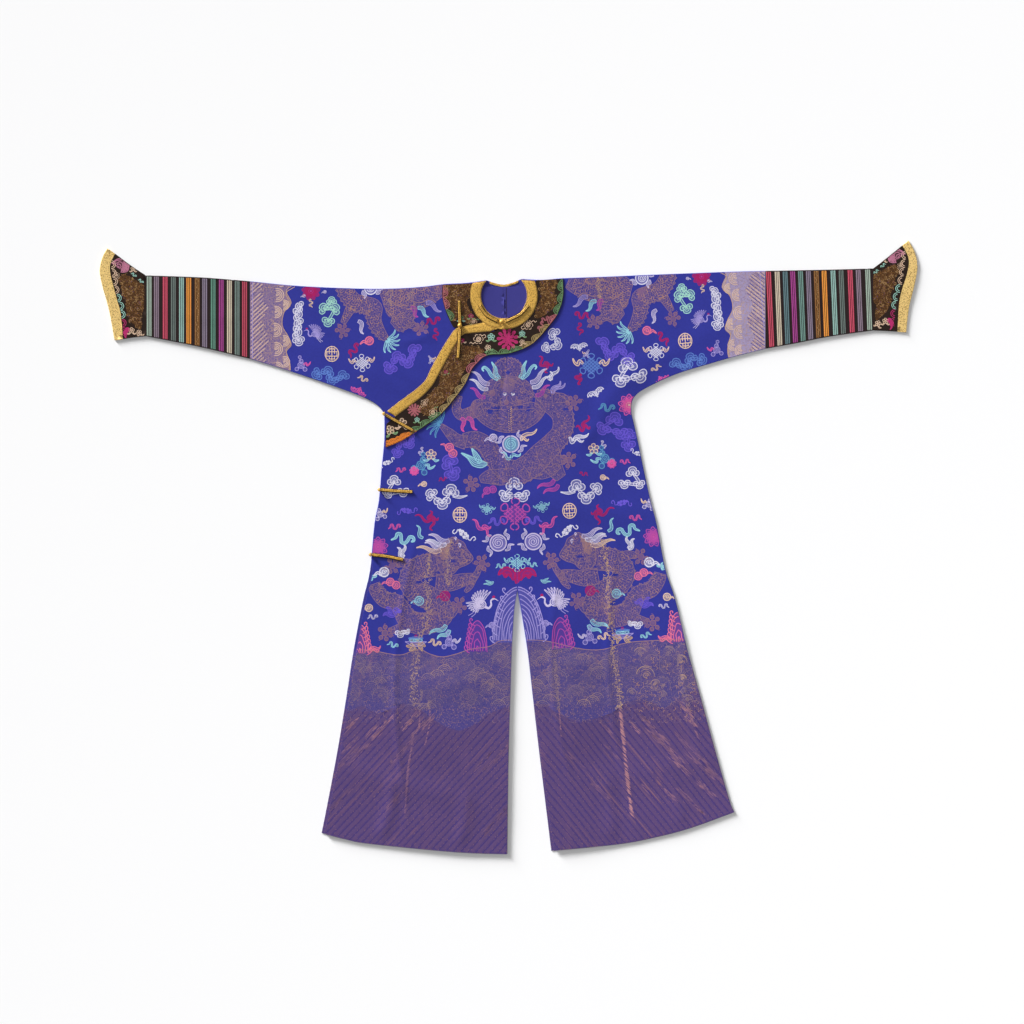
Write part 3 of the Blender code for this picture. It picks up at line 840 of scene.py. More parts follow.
def _dense(stroke: Stroke, spacing: float) -> tuple[Points, np.ndarray, Stroke]:
    """A stroke's line with its long stretches divided."""
    steps = np.linalg.norm(np.diff(stroke.line, axis=0), axis=1)
    if steps.max() <= spacing * STRETCHABLE:
        return stroke.line, stroke.width, stroke
    at = np.concatenate([np.linspace(index, index + 1, max(2, int(math.ceil(gap / spacing)) + 1))[:-1]
            for index, gap in enumerate(steps)] + [[float(len(steps))]])
    index = np.arange(len(stroke.line))
    line = np.stack([np.interp(at, index, column) for column in stroke.line.T], 1)
    return line, np.interp(at, index, stroke.width), stroke


def _kept(line: Points, width: np.ndarray, clear: np.ndarray) -> Iterable[tuple[Points, np.ndarray]]:
    """The parts of a line whose clearance isn't negative, cut where it changes."""
    if (clear >= 0).all():
        yield line, width
        return
    piece: list = []
    for index in range(len(line)):
        if clear[index] >= 0:
            piece.append((*line[index], width[index]))
        if index + 1 < len(line) and (clear[index] >= 0) != (clear[index + 1] >= 0):
            share = clear[index] / (clear[index] - clear[index + 1])
            cut = line[index] + share * (line[index + 1] - line[index])
            piece.append((*cut, width[index] + share * (width[index + 1] - width[index])))
            if clear[index] >= 0:
                yield from _long_enough(piece)
                piece = []
    yield from _long_enough(piece)


def _long_enough(piece: list) -> Iterable[tuple[Points, np.ndarray]]:
    """A cut part of a line, where at least a little is left of it."""
    found = np.array(piece)
    if len(piece) > 1 and np.linalg.norm(found[-1, :2] - found[0, :2]) > SHORTEST:
        yield found[:, :2], found[:, 2]


def _area(outline: Points) -> float:
    """Signed area of an outline in plan."""
    after = np.roll(outline, -1, axis=0)
    return float((outline[:, 0] * after[:, 1] - outline[:, 1] * after[:, 0]).sum() / 2)


# ---- Motifs ----
RUYI = (
    (-3, -6), (-8, -8), (-14, -6.5), (-16, -1), (-13.5, 4), (-9, 5), (-9.5, 9), (-6, 13), (0, 14.5),
    (6, 13), (9.5, 9), (9, 5), (13.5, 4), (16, -1), (14, -6.5), (8, -8), (3, -6), (0, -2.5)
)


@dataclass(frozen=True)
class Motif:
    """A drawing in its own axes, in millimetres, +Y up."""

    thread: Thread = T.PALE
    accent: Thread = T.CREAM

    def stitch(self, hoop: Hoop) -> None:
        """Draws the motif."""
        raise NotImplementedError


@dataclass(frozen=True)
class Cloud(Motif):
    """Ruyi heads, each a lobed form with curls, linked by short bands."""

    heads: tuple[tuple[float, float, float, float], ...] = ((-24, 5, 20, 1.0), (3, 10, -4, 1.1),
            (26, -9, 170, 1.0))
    tail: tuple[tuple[float, float], ...] = ()

    def stitch(self, hoop: Hoop) -> None:
        """Draws the links, the heads over them and a pointed tail."""
        middles = [(x, y) for x, y, _, _ in self.heads]
        if len(middles) > 1:
            hoop.tongue(middles, (5, 6, 5), self.thread, 0)
        if self.tail:
            hoop.tongue(self.tail, (8, 6, 0.8), self.thread, 1)
        for x, y, turn, size in self.heads:
            hoop.shape(_turned(RUYI, turn, size, (x, y)), self.thread, (0.56, 0.18))
            for side in (-1, 1):
                curl = spiral(3.4, 1.0 * side, 90, (9.2 * side, -1.5))
                hoop.line(_turned(curl, turn, size, (x, y)), 1.2, self.thread, fine=True, lift=0.22)


def _turned(points: Sequence, turn: float, size: float = 1.0, at: tuple = (0.0, 0.0)) -> Points:
    """Points turned by degrees, scaled and moved."""
    c, s = math.cos(math.radians(turn)) * size, math.sin(math.radians(turn)) * size
    return np.asarray(points, float) @ np.array([[c, s], [-s, c]]) + np.asarray(at, float)


@dataclass(frozen=True)
class Bat(Motif):
    """A bat from above, with scalloped wings."""

    def stitch(self, hoop: Hoop) -> None:
        """Draws wings, body and feelers."""
        for side in (-1, 1):
            wing = np.array([(2, 2), (6, 9), (13, 12), (21, 9), (24, 2), (19, 4), (15, -1), (10, 3),
                    (5, -4)])
            hoop.shape(wing * (side, 1), self.thread, (0.5,))
            hoop.line(smooth(np.array([(1, 6), (3, 10), (6, 10), (6, 7)]) * (side, 1), 3), 1.2, self.thread)
        hoop.shape(((0, 8), (3, 4), (2.5, -4), (0, -9), (-2.5, -4), (-3, 4)), self.thread, (0.5,))


@dataclass(frozen=True)
class Shou(Motif):
    """A round longevity sign: a ring with barred lattice inside."""

    def stitch(self, hoop: Hoop) -> None:
        """Draws the ring, the stem and the bars."""
        hoop.line(circle(18.5, 26) * (0.9, 1), 2.3, self.thread, closed=True)
        hoop.line(((0, 17), (0, -17)), 2.0, self.thread)
        for level, reach in ((12.5, 8), (5.5, 14), (-5.5, 14), (-12.5, 8)):
            hoop.line(((-reach, level), (reach, level)), 2.2, self.thread)
        for side in (-1, 1):
            for x, high, low in ((6.5, 12.5, 0.0), (12.5, 5.5, -5.5), (6.5, -5.5, -12.5)):
                hoop.line(((x * side, high), (x * side, low)), 2.0, self.thread)


@dataclass(frozen=True)
class Knot(Motif):
    """An endless knot: a woven lozenge with loops and fluttering ribbons."""

    ribbons: bool = True

    def stitch(self, hoop: Hoop) -> None:
        """Draws the weave, the loops and the ribbons."""
        hoop.fill(((0, 15), (17, 0), (0, -15), (-17, 0)), hoop.thin(self.thread, 0.3))
        for step in (-9, -4.5, 0, 4.5, 9):
            for turn, lift in ((42, 0.16), (-42, 0.2)):
                hoop.line(_turned(((-12, step), (12, step)), turn), 1.3, self.thread, lift=lift)
        for turn in (90, 150, 30, 210, 330, 270):
            loop = _turned(((0, -3), (5, 0), (6, 5), (0, 8), (-6, 5), (-5, 0)), turn - 90, 0.9,
                    15 * heading(turn))
            hoop.line(smooth(loop, 3, True), 1.6, self.thread, closed=True)
        if self.ribbons:
            for side in (-1, 1):
                path = np.array([(15, 4), (21, 9), (24, 2), (30, 6), (33, 13)]) * (side, 1)
                hoop.tongue(path, (3, 4.5, 3.5, 1), self.accent, 1)


@dataclass(frozen=True)
class Ribbon(Motif):
    """A fluttering ribbon with rounded bends and one curled end."""

    def stitch(self, hoop: Hoop) -> None:
        """Draws the band."""
        path = ((-22, -7), (-15, -1), (-14, 6), (-8, 7), (-5, 0), (-3, -6), (3, -7), (7, -1), (9, 6),
                (15, 7), (18, 2), (14, -1))
        hoop.tongue(path, (0.8, 3.6, 4.4, 4.6, 4.4, 4.6, 4.4, 4.6, 4.4, 4.2, 3.4, 2.0), self.thread, 1)


@dataclass(frozen=True)
class Flames(Motif):
    """Wavy tongues that spring from one root."""

    tongues: tuple[tuple[float, float, float], ...] = ((60, 34, 8), (30, 30, 7), (5, 24, 6))
    bend: float = 5.0

    def stitch(self, hoop: Hoop) -> None:
        """Draws each tongue by its direction, length and width."""
        for turn, length, width in self.tongues:
            share = np.array([0, 0.2, 0.42, 0.62, 0.82, 1.0])
            sway = self.bend * np.sin(share * math.tau * 0.95) * np.array([0, 1, 1, 0.9, 0.8, 0.6])
            path = _turned(np.column_stack([share * length, sway]), turn)
            hoop.tongue(path, (width * 0.8, width, width * 0.9, width * 0.7, width * 0.45, 0.6),
                    self.thread, 2)


@dataclass(frozen=True)
class Horns(Motif):
    """A long thin flame with a curling end."""

    def stitch(self, hoop: Hoop) -> None:
        """Draws a straight tongue and a hooked one."""
        hoop.tongue(((0, 0), (5, 12), (4, 24), (9, 38)), (9, 8, 6, 1), self.thread, 2)
        hoop.tongue(((3, 0), (14, 10), (19, 22), (26, 30), (31, 27), (29, 22)), (7, 6, 5, 4, 2.5, 1),
                self.thread, 1)


@dataclass(frozen=True)
class Curl(Motif):
    """Round curls side by side, each a filled spiral."""

    count: int = 2
    radius: float = 7.0

    def stitch(self, hoop: Hoop) -> None:
        """Draws the discs with their spirals."""
        for index in range(self.count):
            centre = (index * self.radius * 1.5 - (self.count - 1) * self.radius * 0.75,
                    (index % 2) * self.radius * -0.8)
            hoop.edged(circle(self.radius, 14, centre), hoop.cover(self.thread, DISC_COVER), 1.9,
                    self.thread)
            hoop.line(spiral(self.radius * 0.62, 1.4, 200 * index, centre), 1.5, self.thread, lift=0.2)
        left = -self.radius * self.count
        hoop.tongue(((left * 0.6, -4), (left - 3, -1), (left - 9, -6)), (4, 3, 0.8), self.thread, 0)


@dataclass(frozen=True)
class Pearl(Motif):
    """A round pearl with a spiral in it and flames licking round it."""

    core: Thread = T.LAVENDER
    radius: float = 20.0

    def stitch(self, hoop: Hoop) -> None:
        """Draws the disc, its spiral and four flames."""
        r = self.radius
        hoop.fill(circle(r, 28), hoop.thin(self.thread, 0.6))
        hoop.fill(circle(r * 0.84, 26), hoop.thin(self.core, 0.4))
        hoop.line(circle(r * 0.95, 28), 2.6, self.thread, closed=True)
        hoop.line(spiral(r * 0.74, 2.6, 40), 1.9, self.core if self.core is T.AQUA else self.thread,
                lift=0.2)
        for turn, length in ((35, 1.5), (150, 1.4), (215, 1.3), (330, 1.6)):
            path = _turned(((r * 1.15, -r * 0.35), (r * 1.4, 0), (r * 1.25, r * 0.45), (r * 1.7, r * 0.75)),
                    turn)
            hoop.tongue(path, (2, 7, 5, 1), self.accent, 1)


@dataclass(frozen=True)
class Crane(Motif):
    """A flying crane with spread wings, a long neck and trailing legs."""

    def stitch(self, hoop: Hoop) -> None:
        """Draws the feathers, the body, the neck with its red crown, and the legs."""
        for count, start, gap, middle, reach, less in ((8, 62, 13, (15, 2), 31, 1.2),
                (7, 186, 12, (13, -2), 29, 2)):
            for index in range(count):
                feather = _turned(((3, 0), middle, (reach - index * less, 0)), start + index * gap)
                hoop.tongue(feather, (3.0, 4.4, 0.8), self.thread, 0, 1.2)
        hoop.shape(((-9, -2), (-3, 7), (6, 6), (10, -1), (4, -8), (-5, -8)), self.thread, (0.6, 0.25))
        hoop.line(smooth(((8, -3), (16, -5), (20, 2), (18, 10), (22, 15)), 4), (5, 4, 3, 3), self.thread)
        hoop.line(((21, 14), (25, 15), (33, 12)), (4, 2, 0.6), self.thread)
        hoop.fill(circle(3, 10, (22, 18)), T.CRIMSON)
        for leg in (((-7, -8), (-13, -20), (-20, -26)), ((-3, -9), (-8, -21), (-14, -28))):
            hoop.line(leg, 1.3, self.accent)


@dataclass(frozen=True)
class Lotus(Motif):
    """A many-petalled flower seen from the side or the top."""

    radius: float = 22.0
    PETALS = 9

    def stitch(self, hoop: Hoop) -> None:
        """Draws rings of petals and a seeded heart."""
        for ring, share in enumerate((1.0, 0.68)):
            reach = self.radius * share
            for index in range(self.PETALS):
                turn = 90 + 360.0 * ((index + 0.5 * ring) / self.PETALS)
                petal = ((reach * 0.25, -reach * 0.1), (reach * 0.7, -reach * 0.24), (reach * 1.02, 0),
                        (reach * 0.7, reach * 0.24), (reach * 0.25, reach * 0.1))
                hoop.shape(_turned(petal, turn), self.thread, (0.4,), 3)
        hoop.edged(circle(self.radius * 0.26, 12), hoop.thin(self.accent, 0.8), 1.0, self.accent, 0.22)


@dataclass(frozen=True)
class Peony(Motif):
    """A full flower of separate round petals."""

    def stitch(self, hoop: Hoop) -> None:
        """Draws three rings of petals, each on its own."""
        for count, reach, radius in ((5, 4.4, 3.4), (8, 12.0, 3.8), (11, 21.0, 4.1)):
            for index in range(count):
                petal = _turned(circle(radius, 10) * (1.35, 0.9) + (reach, 0),
                        360 * index / count + 10 * reach)
                hoop.edged(petal, hoop.thin(self.thread, 0.85), 1.1, self.thread)


@dataclass(frozen=True)
class Emblem(Motif):
    """One of the scholars' or monks' treasures: a lobed body on looped ribbons."""

    flag: Thread = T.CREAM

    def stitch(self, hoop: Hoop) -> None:
        """Draws the body, the loops round it and one ribbon."""
        hoop.shape(((-8, -7), (-9, 4), (0, 9), (9, 4), (8, -7), (0, -10)), self.thread, (0.6, 0.2))
        for x, y, radius in ((-13, -12, 5.5), (12, -13, 6), (0, 12, 6), (-4, 24, 4.5)):
            hoop.edged(circle(radius, 12, (x, y)), hoop.thin(self.thread, 0.2), 1.9, self.thread)
            hoop.line(((x * 0.45, y * 0.45), (x * 0.75, y * 0.75)), 2.2, self.thread)
        hoop.tongue(((8, 2), (15, 6), (18, -1), (25, 3), (29, 10)), (3, 4.5, 4, 3.5, 0.8), self.flag, 1)


@dataclass(frozen=True)
class Vase(Motif):
    """A footed bowl with a lid, a red knob and a gold foot."""

    def stitch(self, hoop: Hoop) -> None:
        """Draws the bowl in bands from the foot up."""
        hoop.shape(((-28, 3), (-20, -2), (-10, -8), (10, -8), (20, -2), (28, 3), (20, 3), (-20, 3)),
                self.thread, (0.5,), 3)
        hoop.shape(((-13, 4), (-15, 10), (15, 10), (13, 4)), T.AQUA, (0.5,), 2)
        for side in (-1, 1):
            hoop.line(circle(3, 8, (6 * side, 7)), 0.9, T.INDIGO, closed=True, fine=True)
        hoop.tongue(((-19, 12), (0, 14), (19, 12)), (2, 5, 2), T.BLUE, 1)
        hoop.shape(((-4, 16), (0, 22), (4, 16)), T.CRIMSON, (), 3, 1.2)
        for turn in (200, 230, 310, 340):
            hoop.tongue(_turned(((8, 0), (18, 3), (26, -1)), turn), (7, 8, 3), T.GOLD, 1)


@dataclass(frozen=True)
class Creature(Motif):
    """A small qilin-like scroll: a knobbly body with curled ends."""

    def stitch(self, hoop: Hoop) -> None:
        """Draws a body of knobs and a curl at each end."""
        for end in (((-22, 15), (-27, 10), (-24, 5), (-18, 8), (-14, 14), (-8, 10)),
                ((22, -15), (27, -12), (25, -6), (19, -8), (14, -14), (8, -9))):
            hoop.line(smooth(end, 3), 2.4, self.thread)
        hoop.tongue(((-8, 10), (-2, 3), (3, -2), (8, -9)), (8, 11, 10, 6), self.thread, 0)
        for x, y in ((-9, 12), (-3, 9), (4, 3), (8, -3), (-7, 3), (0, -5)):
            hoop.shape(circle(3.2, 8, (x, y)), self.thread, (0.45,), 1)


@dataclass(frozen=True)
class Fish(Motif):
    """Paired fish or birds: two curved bodies with feathered ends."""

    def stitch(self, hoop: Hoop) -> None:
        """Draws two forked bodies."""
        hoop.tongue(((-26, 10), (-12, 4), (0, -4), (12, -6), (22, -4)), (1, 6, 14, 13, 3), self.thread, 3)
        hoop.tongue(((-8, 20), (-2, 12), (4, 4), (10, -3)), (1, 7, 9, 7), self.thread, 2)


@dataclass(frozen=True)
class Mountain(Motif):
    """A rock of nested stripes with breaking crests down one side or both."""

    width: float = 46.0
    height: float = 76.0
    rows: int = 6
    crests: tuple[int, ...] = (-1,)

    def stitch(self, hoop: Hoop) -> None:
        """Draws the body, its nested arches and its crests."""
        half, tall = self.width / 2, self.height
        form = smooth(((-half, 0), (-half * 0.92, tall * 0.4), (-half * 0.62, tall * 0.78), (0, tall),
                (half * 0.62, tall * 0.8), (half * 0.92, tall * 0.4), (half, 0)))
        hoop.fill(form, hoop.thin(self.thread, 0.14))
        hoop.line(form, 1.9, self.thread)
        for row in range(self.rows):
            share = 1 - (row + 0.6) / self.rows
            arch = np.column_stack([form[:, 0] * share, form[:, 1] * (0.1 + 0.9 * share)])
            arch[:, 0] += np.sin(np.linspace(0, 7 * math.pi, len(arch)) + 2 * row)
            hoop.line(arch[arch[:, 1] > 1], 2.1, hoop.thin(self.thread, 0.9), lift=0.2)
        for side in self.crests:
            for step in range(7):
                base = (half * side * (0.98 - 0.09 * step), tall * (0.02 + 0.145 * step))
                hook = np.array([(-5, -4), (2, 0), (7, 6), (7, 12), (3, 13), (1, 10), (3, 8)]) * (side, 1)
                hoop.line(smooth(hook + base, 3), 2.1, self.thread)


@dataclass(frozen=True)
class Sprig(Motif):
    """A flower on a stem with leaves, for the facings."""

    def stitch(self, hoop: Hoop) -> None:
        """Draws five petals and two leaves."""
        for index in range(5):
            hoop.shape(_turned(((3, -3), (10, -4), (12, 0), (10, 4), (3, 3)), 90 + 72 * index), self.thread,
                    (), 3, 1.6)
        hoop.line(circle(2.4, 8), 1.2, self.accent, closed=True, lift=0.24)
        for side in (-1, 1):
            hoop.tongue(((4 * side, -9), (11 * side, -14), (18 * side, -12)), (2, 5, 1), self.accent, 1)


@dataclass(frozen=True)
class Scroll(Motif):
    """A spiral flower with a tendril."""

    def stitch(self, hoop: Hoop) -> None:
        """Draws the spiral, its outer petals and the tendril."""
        hoop.line(spiral(8, 2.1, 20), 1.7, self.thread)
        for index in range(6):
            turn = 60 * index
            hoop.line(arc(4.2, turn - 75, turn + 75, 6, 9 * heading(turn)), 1.4, self.thread)
        for tendril in (((-9, -8), (-16, -12), (-20, -6), (-15, -3)), ((9, 8), (15, 13), (20, 8),
                (24, 12))):
            hoop.line(smooth(tendril, 3), 1.5, self.accent)


# ---- Dragons ----
@dataclass(frozen=True)
class Limb:
    """A stretch of a dragon's body, leg or tail."""

    path: tuple[tuple[float, float], ...]
    widths: tuple[float, ...]
    spines: int = 0  # the side the back's fins are on, 0 for none
    scale_size: float = 6.4


def glint(x: float, y: float) -> float:
    """How much bare metal shows at a place, from 0 to 1 in slow uneven patches."""
    slow = math.sin(0.031 * x + 1.3 * math.sin(0.023 * y + 1)) * math.sin(0.037 * y
            + 1.7 * math.sin(0.019 * x))
    quick = math.sin(0.21 * x + 0.6) * math.sin(0.17 * y + 0.09 * x)
    return min(1.0, max(0.0, 0.42 + 0.38 * slow + 0.3 * quick))


def sparkle(x: float, y: float) -> float:
    """An uneven share from 0 to 1 that changes from thread to thread."""
    return (math.sin(12.99 * x + 78.23 * y) * 43758.55) % 1.0


BARE_LEAST, BARE_SLOW, BARE_QUICK = 0.08, 0.26, 0.5  # bare metal: everywhere, in patches, on threads
PALM, TOE, TOE_PLACE, TOE_TURN = 7.5, 4.9, (14.5, 2.0), 55  # a foot's radii, and where its toes stand
RAY_TURN = 25  # between two rays of a tail's fan


class DragonWork:
    """Draws the parts of gold-thread dragons on a hoop."""

    body = T.MAUVE
    edge = T.COPPER
    girth = 0.86  # how slim its limbs are beside their drawn widths
    row = 0.82  # spacing of the scales' rows by the scales' size

    def __init__(self, hoop: Hoop, most: float = 1.0) -> None:
        """Takes the hoop to draw on, and how bare the metal thread is."""
        self.hoop = hoop
        self.most = most

    def metal(self, share: float) -> Colour:
        """The colour of a share of bare metal over the body's own."""
        return dye(self.edge, share, self.body)

    def bare(self, x: float, y: float) -> Colour:
        """The colour of the metal that shows at a place."""
        return self.metal(min(1.0, self.most * (BARE_LEAST + BARE_SLOW * glint(x,
                y) + BARE_QUICK * sparkle(x, y) ** 3)))

    def limb(self, limb: Limb) -> None:
        """Draws a scaled, edged length of body."""
        form, middle, width = band(limb.path, np.array(limb.widths) * self.girth, 6)
        self.hoop.edged(form, dye(self.body), 1.4, self.metal(0.4))
        middle = evenly(np.column_stack([middle, width]), limb.scale_size * self.row)
        line, width = middle[:, :2], middle[:, 2]
        side = normals(line)
        for index in range(1, len(line) - 1):
            along = np.array([side[index][1], -side[index][0]])
            count = max(1, int(width[index] / limb.scale_size))
            for place in range(count):
                off = (place - (count - 1) / 2 + (0.25 if index % 2 else -0.25)) * limb.scale_size
                if abs(off) > width[index] / 2 - limb.scale_size * 0.4:
                    continue
                centre = line[index] + side[index] * off
                size = 0.8 + 0.4 * sparkle(*centre)
                start = math.degrees(math.atan2(along[1], along[0])) - 90 + 110 * (sparkle(centre[1],
                        off) - 0.5)
                self.hoop.line(arc(limb.scale_size * 0.42 * size, start, start + 170, 4, centre), 1.3,
                        self.bare(*centre), fine=index % 2 == 1, lift=0.14)
        if limb.spines:
            self._spines(line, width, side * limb.spines)

    def _spines(self, line: Points, width: np.ndarray, side: Points) -> None:
        """Draws the fins along one edge of the body."""
        for index in range(2, len(line) - 2, 2):
            root = line[index] + side[index] * width[index] * 0.46
            along = np.array([side[index][1], -side[index][0]])
            tip = root + side[index] * 5.5 + along * 2.5
            form = np.array([root - along * 4.2, root + side[index] * 3.5 - along * 2.2, tip,
                    root + along * 4.2])
            self.hoop.fill(form, self.body)
            self.hoop.line(form, 1.1, self.metal(0.5))

    def claw(self, at: tuple[float, float], turn: float, size: float = 1.0) -> None:
        """Draws a foot: a round palm ringed by knobbly toes that stand clear of it."""
        for index in range(-1, 6):
            angle = turn + TOE_TURN * index
            knob = circle(PALM, 10) if index < 0 else circle(TOE, 10, TOE_PLACE)
            self.hoop.edged(_turned(knob, angle, size, at), dye(T.ROSE, 0.35, self.body), 1.6,
                    dye(T.ROSE, 0.6 + 0.4 * sparkle(index, turn), self.body))
            if index >= 0:
                self.hoop.line(_turned(((6, 0), (10, 0)), angle, size, at), 3.0,
                        dye(T.ROSE, 0.5, self.body))
                if index % 2 == 0:
                    nail = _turned(((17, 5), (21.5, 5.5), (24, 1)), angle, size, at)
                    self.hoop.line(nail, 2.2, dye(T.ROSE, 0.75, self.body), Taper.END)

    def fan(self, at: tuple[float, float], turn: float, reach: float, thread: Thread, rays: int) -> None:
        """Draws a tail's fan of curved rays."""
        for index in range(rays):
            angle = turn + (index - (rays - 1) / 2) * RAY_TURN
            ray = _turned(((2, 0), (reach * 0.5, 1.5), (reach * 0.82, 4), (reach, 9)), angle, 1.0, at)
            self.hoop.tongue(ray, (4.5, 4, 3, 0.8), thread, 0)

    def chest(self) -> None:
        """Draws the front-facing dragon, about the middle of its forehead."""
        for limb in CHEST_LIMBS:
            self.limb(limb)
        for x, y, turn in CHEST_CLAWS:
            self.claw((x, y), turn)
        self.fan(*CHEST_FAN, 34, T.TEAL, 8)
        crown = smooth(CHEST_CROWN, 4, True)
        face = smooth(CHEST_FACE, 5, True)
        for form in (crown, face):
            self.hoop.edged(form, dye(self.body), 1.5, self.metal(0.42))
        centre = face.mean(0)
        for x, y, radius in CHEST_GLOW:
            self.hoop.fill(circle(radius, 12, (x, y)), dye(T.ROSE, 0.55, self.body))
            self.hoop.line(spiral(radius * 0.8, 1.4, x, (x, y)), 1.0, self.metal(0.5))
        self.texture(face, 6.0)
        self.texture(crown, 6.0)
        for share in (0.93, 0.84):
            lower = np.array([p for p in centre + (face - centre) * share if p[1] < centre[1] - 12])
            lower = lower[np.argsort(lower[:, 0])]
            self.hoop.line(lower, 1.1, self.metal(0.3))
        self._scallops(crown, 8, 3.2)
        self._features(Hoop(self.hoop.work, (1, 387)))
        self.gaps(CHEST_GAPS)

    def texture(self, form: Points, spacing: float) -> None:
        """Covers a form with small curls of metal, brighter in some places."""
        curls(self.hoop, form, spacing, self.bare)

    def gaps(self, places: Sequence[tuple[float, float, float, float]]) -> None:
        """Lets the ground show through small openings, by their middle and half sizes."""
        work = self.hoop.work
        for x, y, wide, tall in places:
            form = circle(1.0, 12) * (wide, tall) + (x, y)
            self.hoop.fill(form, T.GROUND)
            middles = np.array([stroke.line.mean(0) for stroke in work.strokes])
            for copy in self.hoop.placed(form):
                inside = signed_distance(middles, copy) > 0
                small = np.array([np.ptp(stroke.line, axis=0).max() < 9 for stroke in work.strokes])
                kept = ~(inside & small)
                work.strokes = [stroke for stroke, keep in zip(work.strokes, kept) if keep]
                middles = middles[kept]

    def _scallops(self, form: Points, spacing: float, radius: float) -> None:
        """Draws small arcs round a form's edge."""
        ring = evenly(np.vstack([form, form[:1]]), spacing)
        centre = form.mean(0)
        for point in ring[:-1]:
            angle = math.degrees(math.atan2(*(point - centre)[::-1]))
            self.hoop.line(arc(radius, angle - 100, angle + 100, 6, point), 1.2, self.metal(0.55))

    def _features(self, hoop: Hoop) -> None:
        """Draws brows, eyes, snout, whiskers and beard of the front-facing head."""
        warm = self.metal(0.42)
        hoop.fill(smooth(((-11, 26), (-15, 4), (-6, -9), (6, -9), (15, 4), (11, 26)), 4, True),
                self.metal(0.22))
        for side in (-1, 1):
            flip = (side, 1)

            def curve(path: Sequence, width: float, per: int = 4, taper: Taper = Taper.NONE) -> None:
                """Lays a smooth line of bare metal on this side of the face."""
                hoop.line(smooth(np.array(path) * flip, per), width, warm, taper)

            curve(((3, 4), (8, 10), (18, 13), (30, 8)), 2.6, taper=Taper.BOTH)
            curve(((5, 20), (12, 24), (24, 20), (34, 10), (38, -4)), 1.8)
            hoop.fill(circle(4.0, 12) * (1.25, 0.9) + (9.7 * side, -14.4), T.WHITE)
            hoop.line(circle(1.1, 8, (9.7 * side, -12.4)), 1.4, T.INDIGO, closed=True, lift=0.24)
            curve(((5, -24), (10, -32), (18, -34), (22, -28), (16, -24)), 2.0)
            curve(((10, -42), (30, -40), (52, -34), (70, -40), (80, -52)), 1.8, 5)
            curve(((6, -52), (34, -52), (60, -50), (74, -62)), 1.5, 5)
            for row in range(5):
                hoop.line(arc(15 + row * 10.5, 205, 262, 9, (-2, -44)) * flip, 1.0, warm, fine=row % 2 == 1)
            for row in range(4):
                curve(((24 + 9 * row, -8 - 3 * row), (33 + 9 * row, -2 - 3 * row),
                        (40 + 9 * row, -10 - 4 * row)), 1.4, taper=Taper.BOTH)
            hoop.line(spiral(6, 1.4, 0, (44 * side, -28)), 1.4, warm)
            hoop.fill(smooth(np.array(((22, -44), (34, -47), (31, -58), (24, -56))) * flip, 3, True),
                    T.GROUND)
        for level in range(12):
            hoop.line(arc(4.5, 200, 340, 5, (3, -42 - level * 5.2)), 1.4, T.GOLD if level % 3 else T.COPPER)
        for level in range(3):
            hoop.line(arc(11 - level * 3, 20, 160, 8, (0, -2 + level * 4)), 1.5, warm)

    def profile(self) -> None:
        """Draws the striding dragon of a skirt, in millimetres about its own middle."""
        for limb in SKIRT_LIMBS:
            self.limb(limb)
        for x, y, turn in SKIRT_CLAWS:
            self.claw((x, y), turn)
        warm = self.metal(0.45)
        hoop = self.hoop
        head = smooth(SKIRT_HEAD, 5, True)
        hoop.edged(head, dye(self.body), 1.5, warm)
        self.texture(head, 5.6)
        hoop.fill(smooth(SKIRT_BROW, 4, True), dye(T.COPPER, 0.6, self.body))
        for line in SKIRT_LINES:
            hoop.line(smooth(line, 4), 1.4, warm)
        for x, y, radius in SKIRT_CURLS:
            hoop.line(spiral(radius, 1.5, x, (x, y)), 1.3, warm)
        for at, size in ((SKIRT_EYE, 1.0), (SKIRT_HORN, 0.8)):
            form = np.array(((-4, 2), (0, 5), (4, 3), (4, -1), (1, -7), (-1, -3))) * size + at
            hoop.fill(smooth(form, 3, True), T.PALE)
        hoop.line(circle(1.2, 8, SKIRT_EYE), 1.3, T.INDIGO, closed=True, lift=0.24)
        self.gaps(SKIRT_GAPS)

    def shoulder(self) -> None:
        """Draws the half of a shoulder dragon that shows on the front."""
        for limb in SHOULDER_LIMBS:
            self.limb(limb)
        for x, y, turn in SHOULDER_CLAWS:
            self.claw((x, y), turn, 0.9)
        self.fan(*SHOULDER_FAN, 30, T.AQUA, 7)
        for line in SHOULDER_LINES:
            self.hoop.line(smooth(line, 4), 1.8, self.metal(0.6))


CHEST_LIMBS = (
    Limb(((67, 363), (96, 356), (123, 336), (133, 310), (128, 278), (106, 251), (79, 225), (52, 198),
    (21, 183), (-11, 193), (-35, 220), (-52, 246), (-79, 263), (-108, 259)),
    (44, 62, 64, 58, 56, 60, 66, 70, 68, 60, 54, 48, 44, 40), 1),
    Limb(((-103, 254), (-125, 261), (-144, 278), (-164, 297)), (38, 34, 26, 10), 0, 5.2),
    Limb(((9, 174), (-20, 171), (-47, 171), (-69, 164)), (44, 46, 40, 16)),
    Limb(((55, 188), (82, 183), (104, 186), (123, 200)), (44, 40, 26, 16)),
    Limb(((31, 188), (43, 174), (55, 166)), (26, 24, 12)),
    Limb(((-64, 339), (-91, 327), (-115, 322), (-127, 339), (-120, 368)), (34, 34, 30, 24, 18), 0, 5.2),
    Limb(((106, 363), (130, 363), (147, 356)), (30, 26, 14)),
    Limb(((91, 251), (99, 222), (111, 193), (128, 169)), (60, 66, 50, 30)),
    Limb(((106, 208), (125, 212), (142, 215)), (34, 26, 18))
)
CHEST_CLAWS = ((159, 351, 10), (147, 212, 30), (-91, 154, 230))
CHEST_FAN = ((-166, 300), 150)
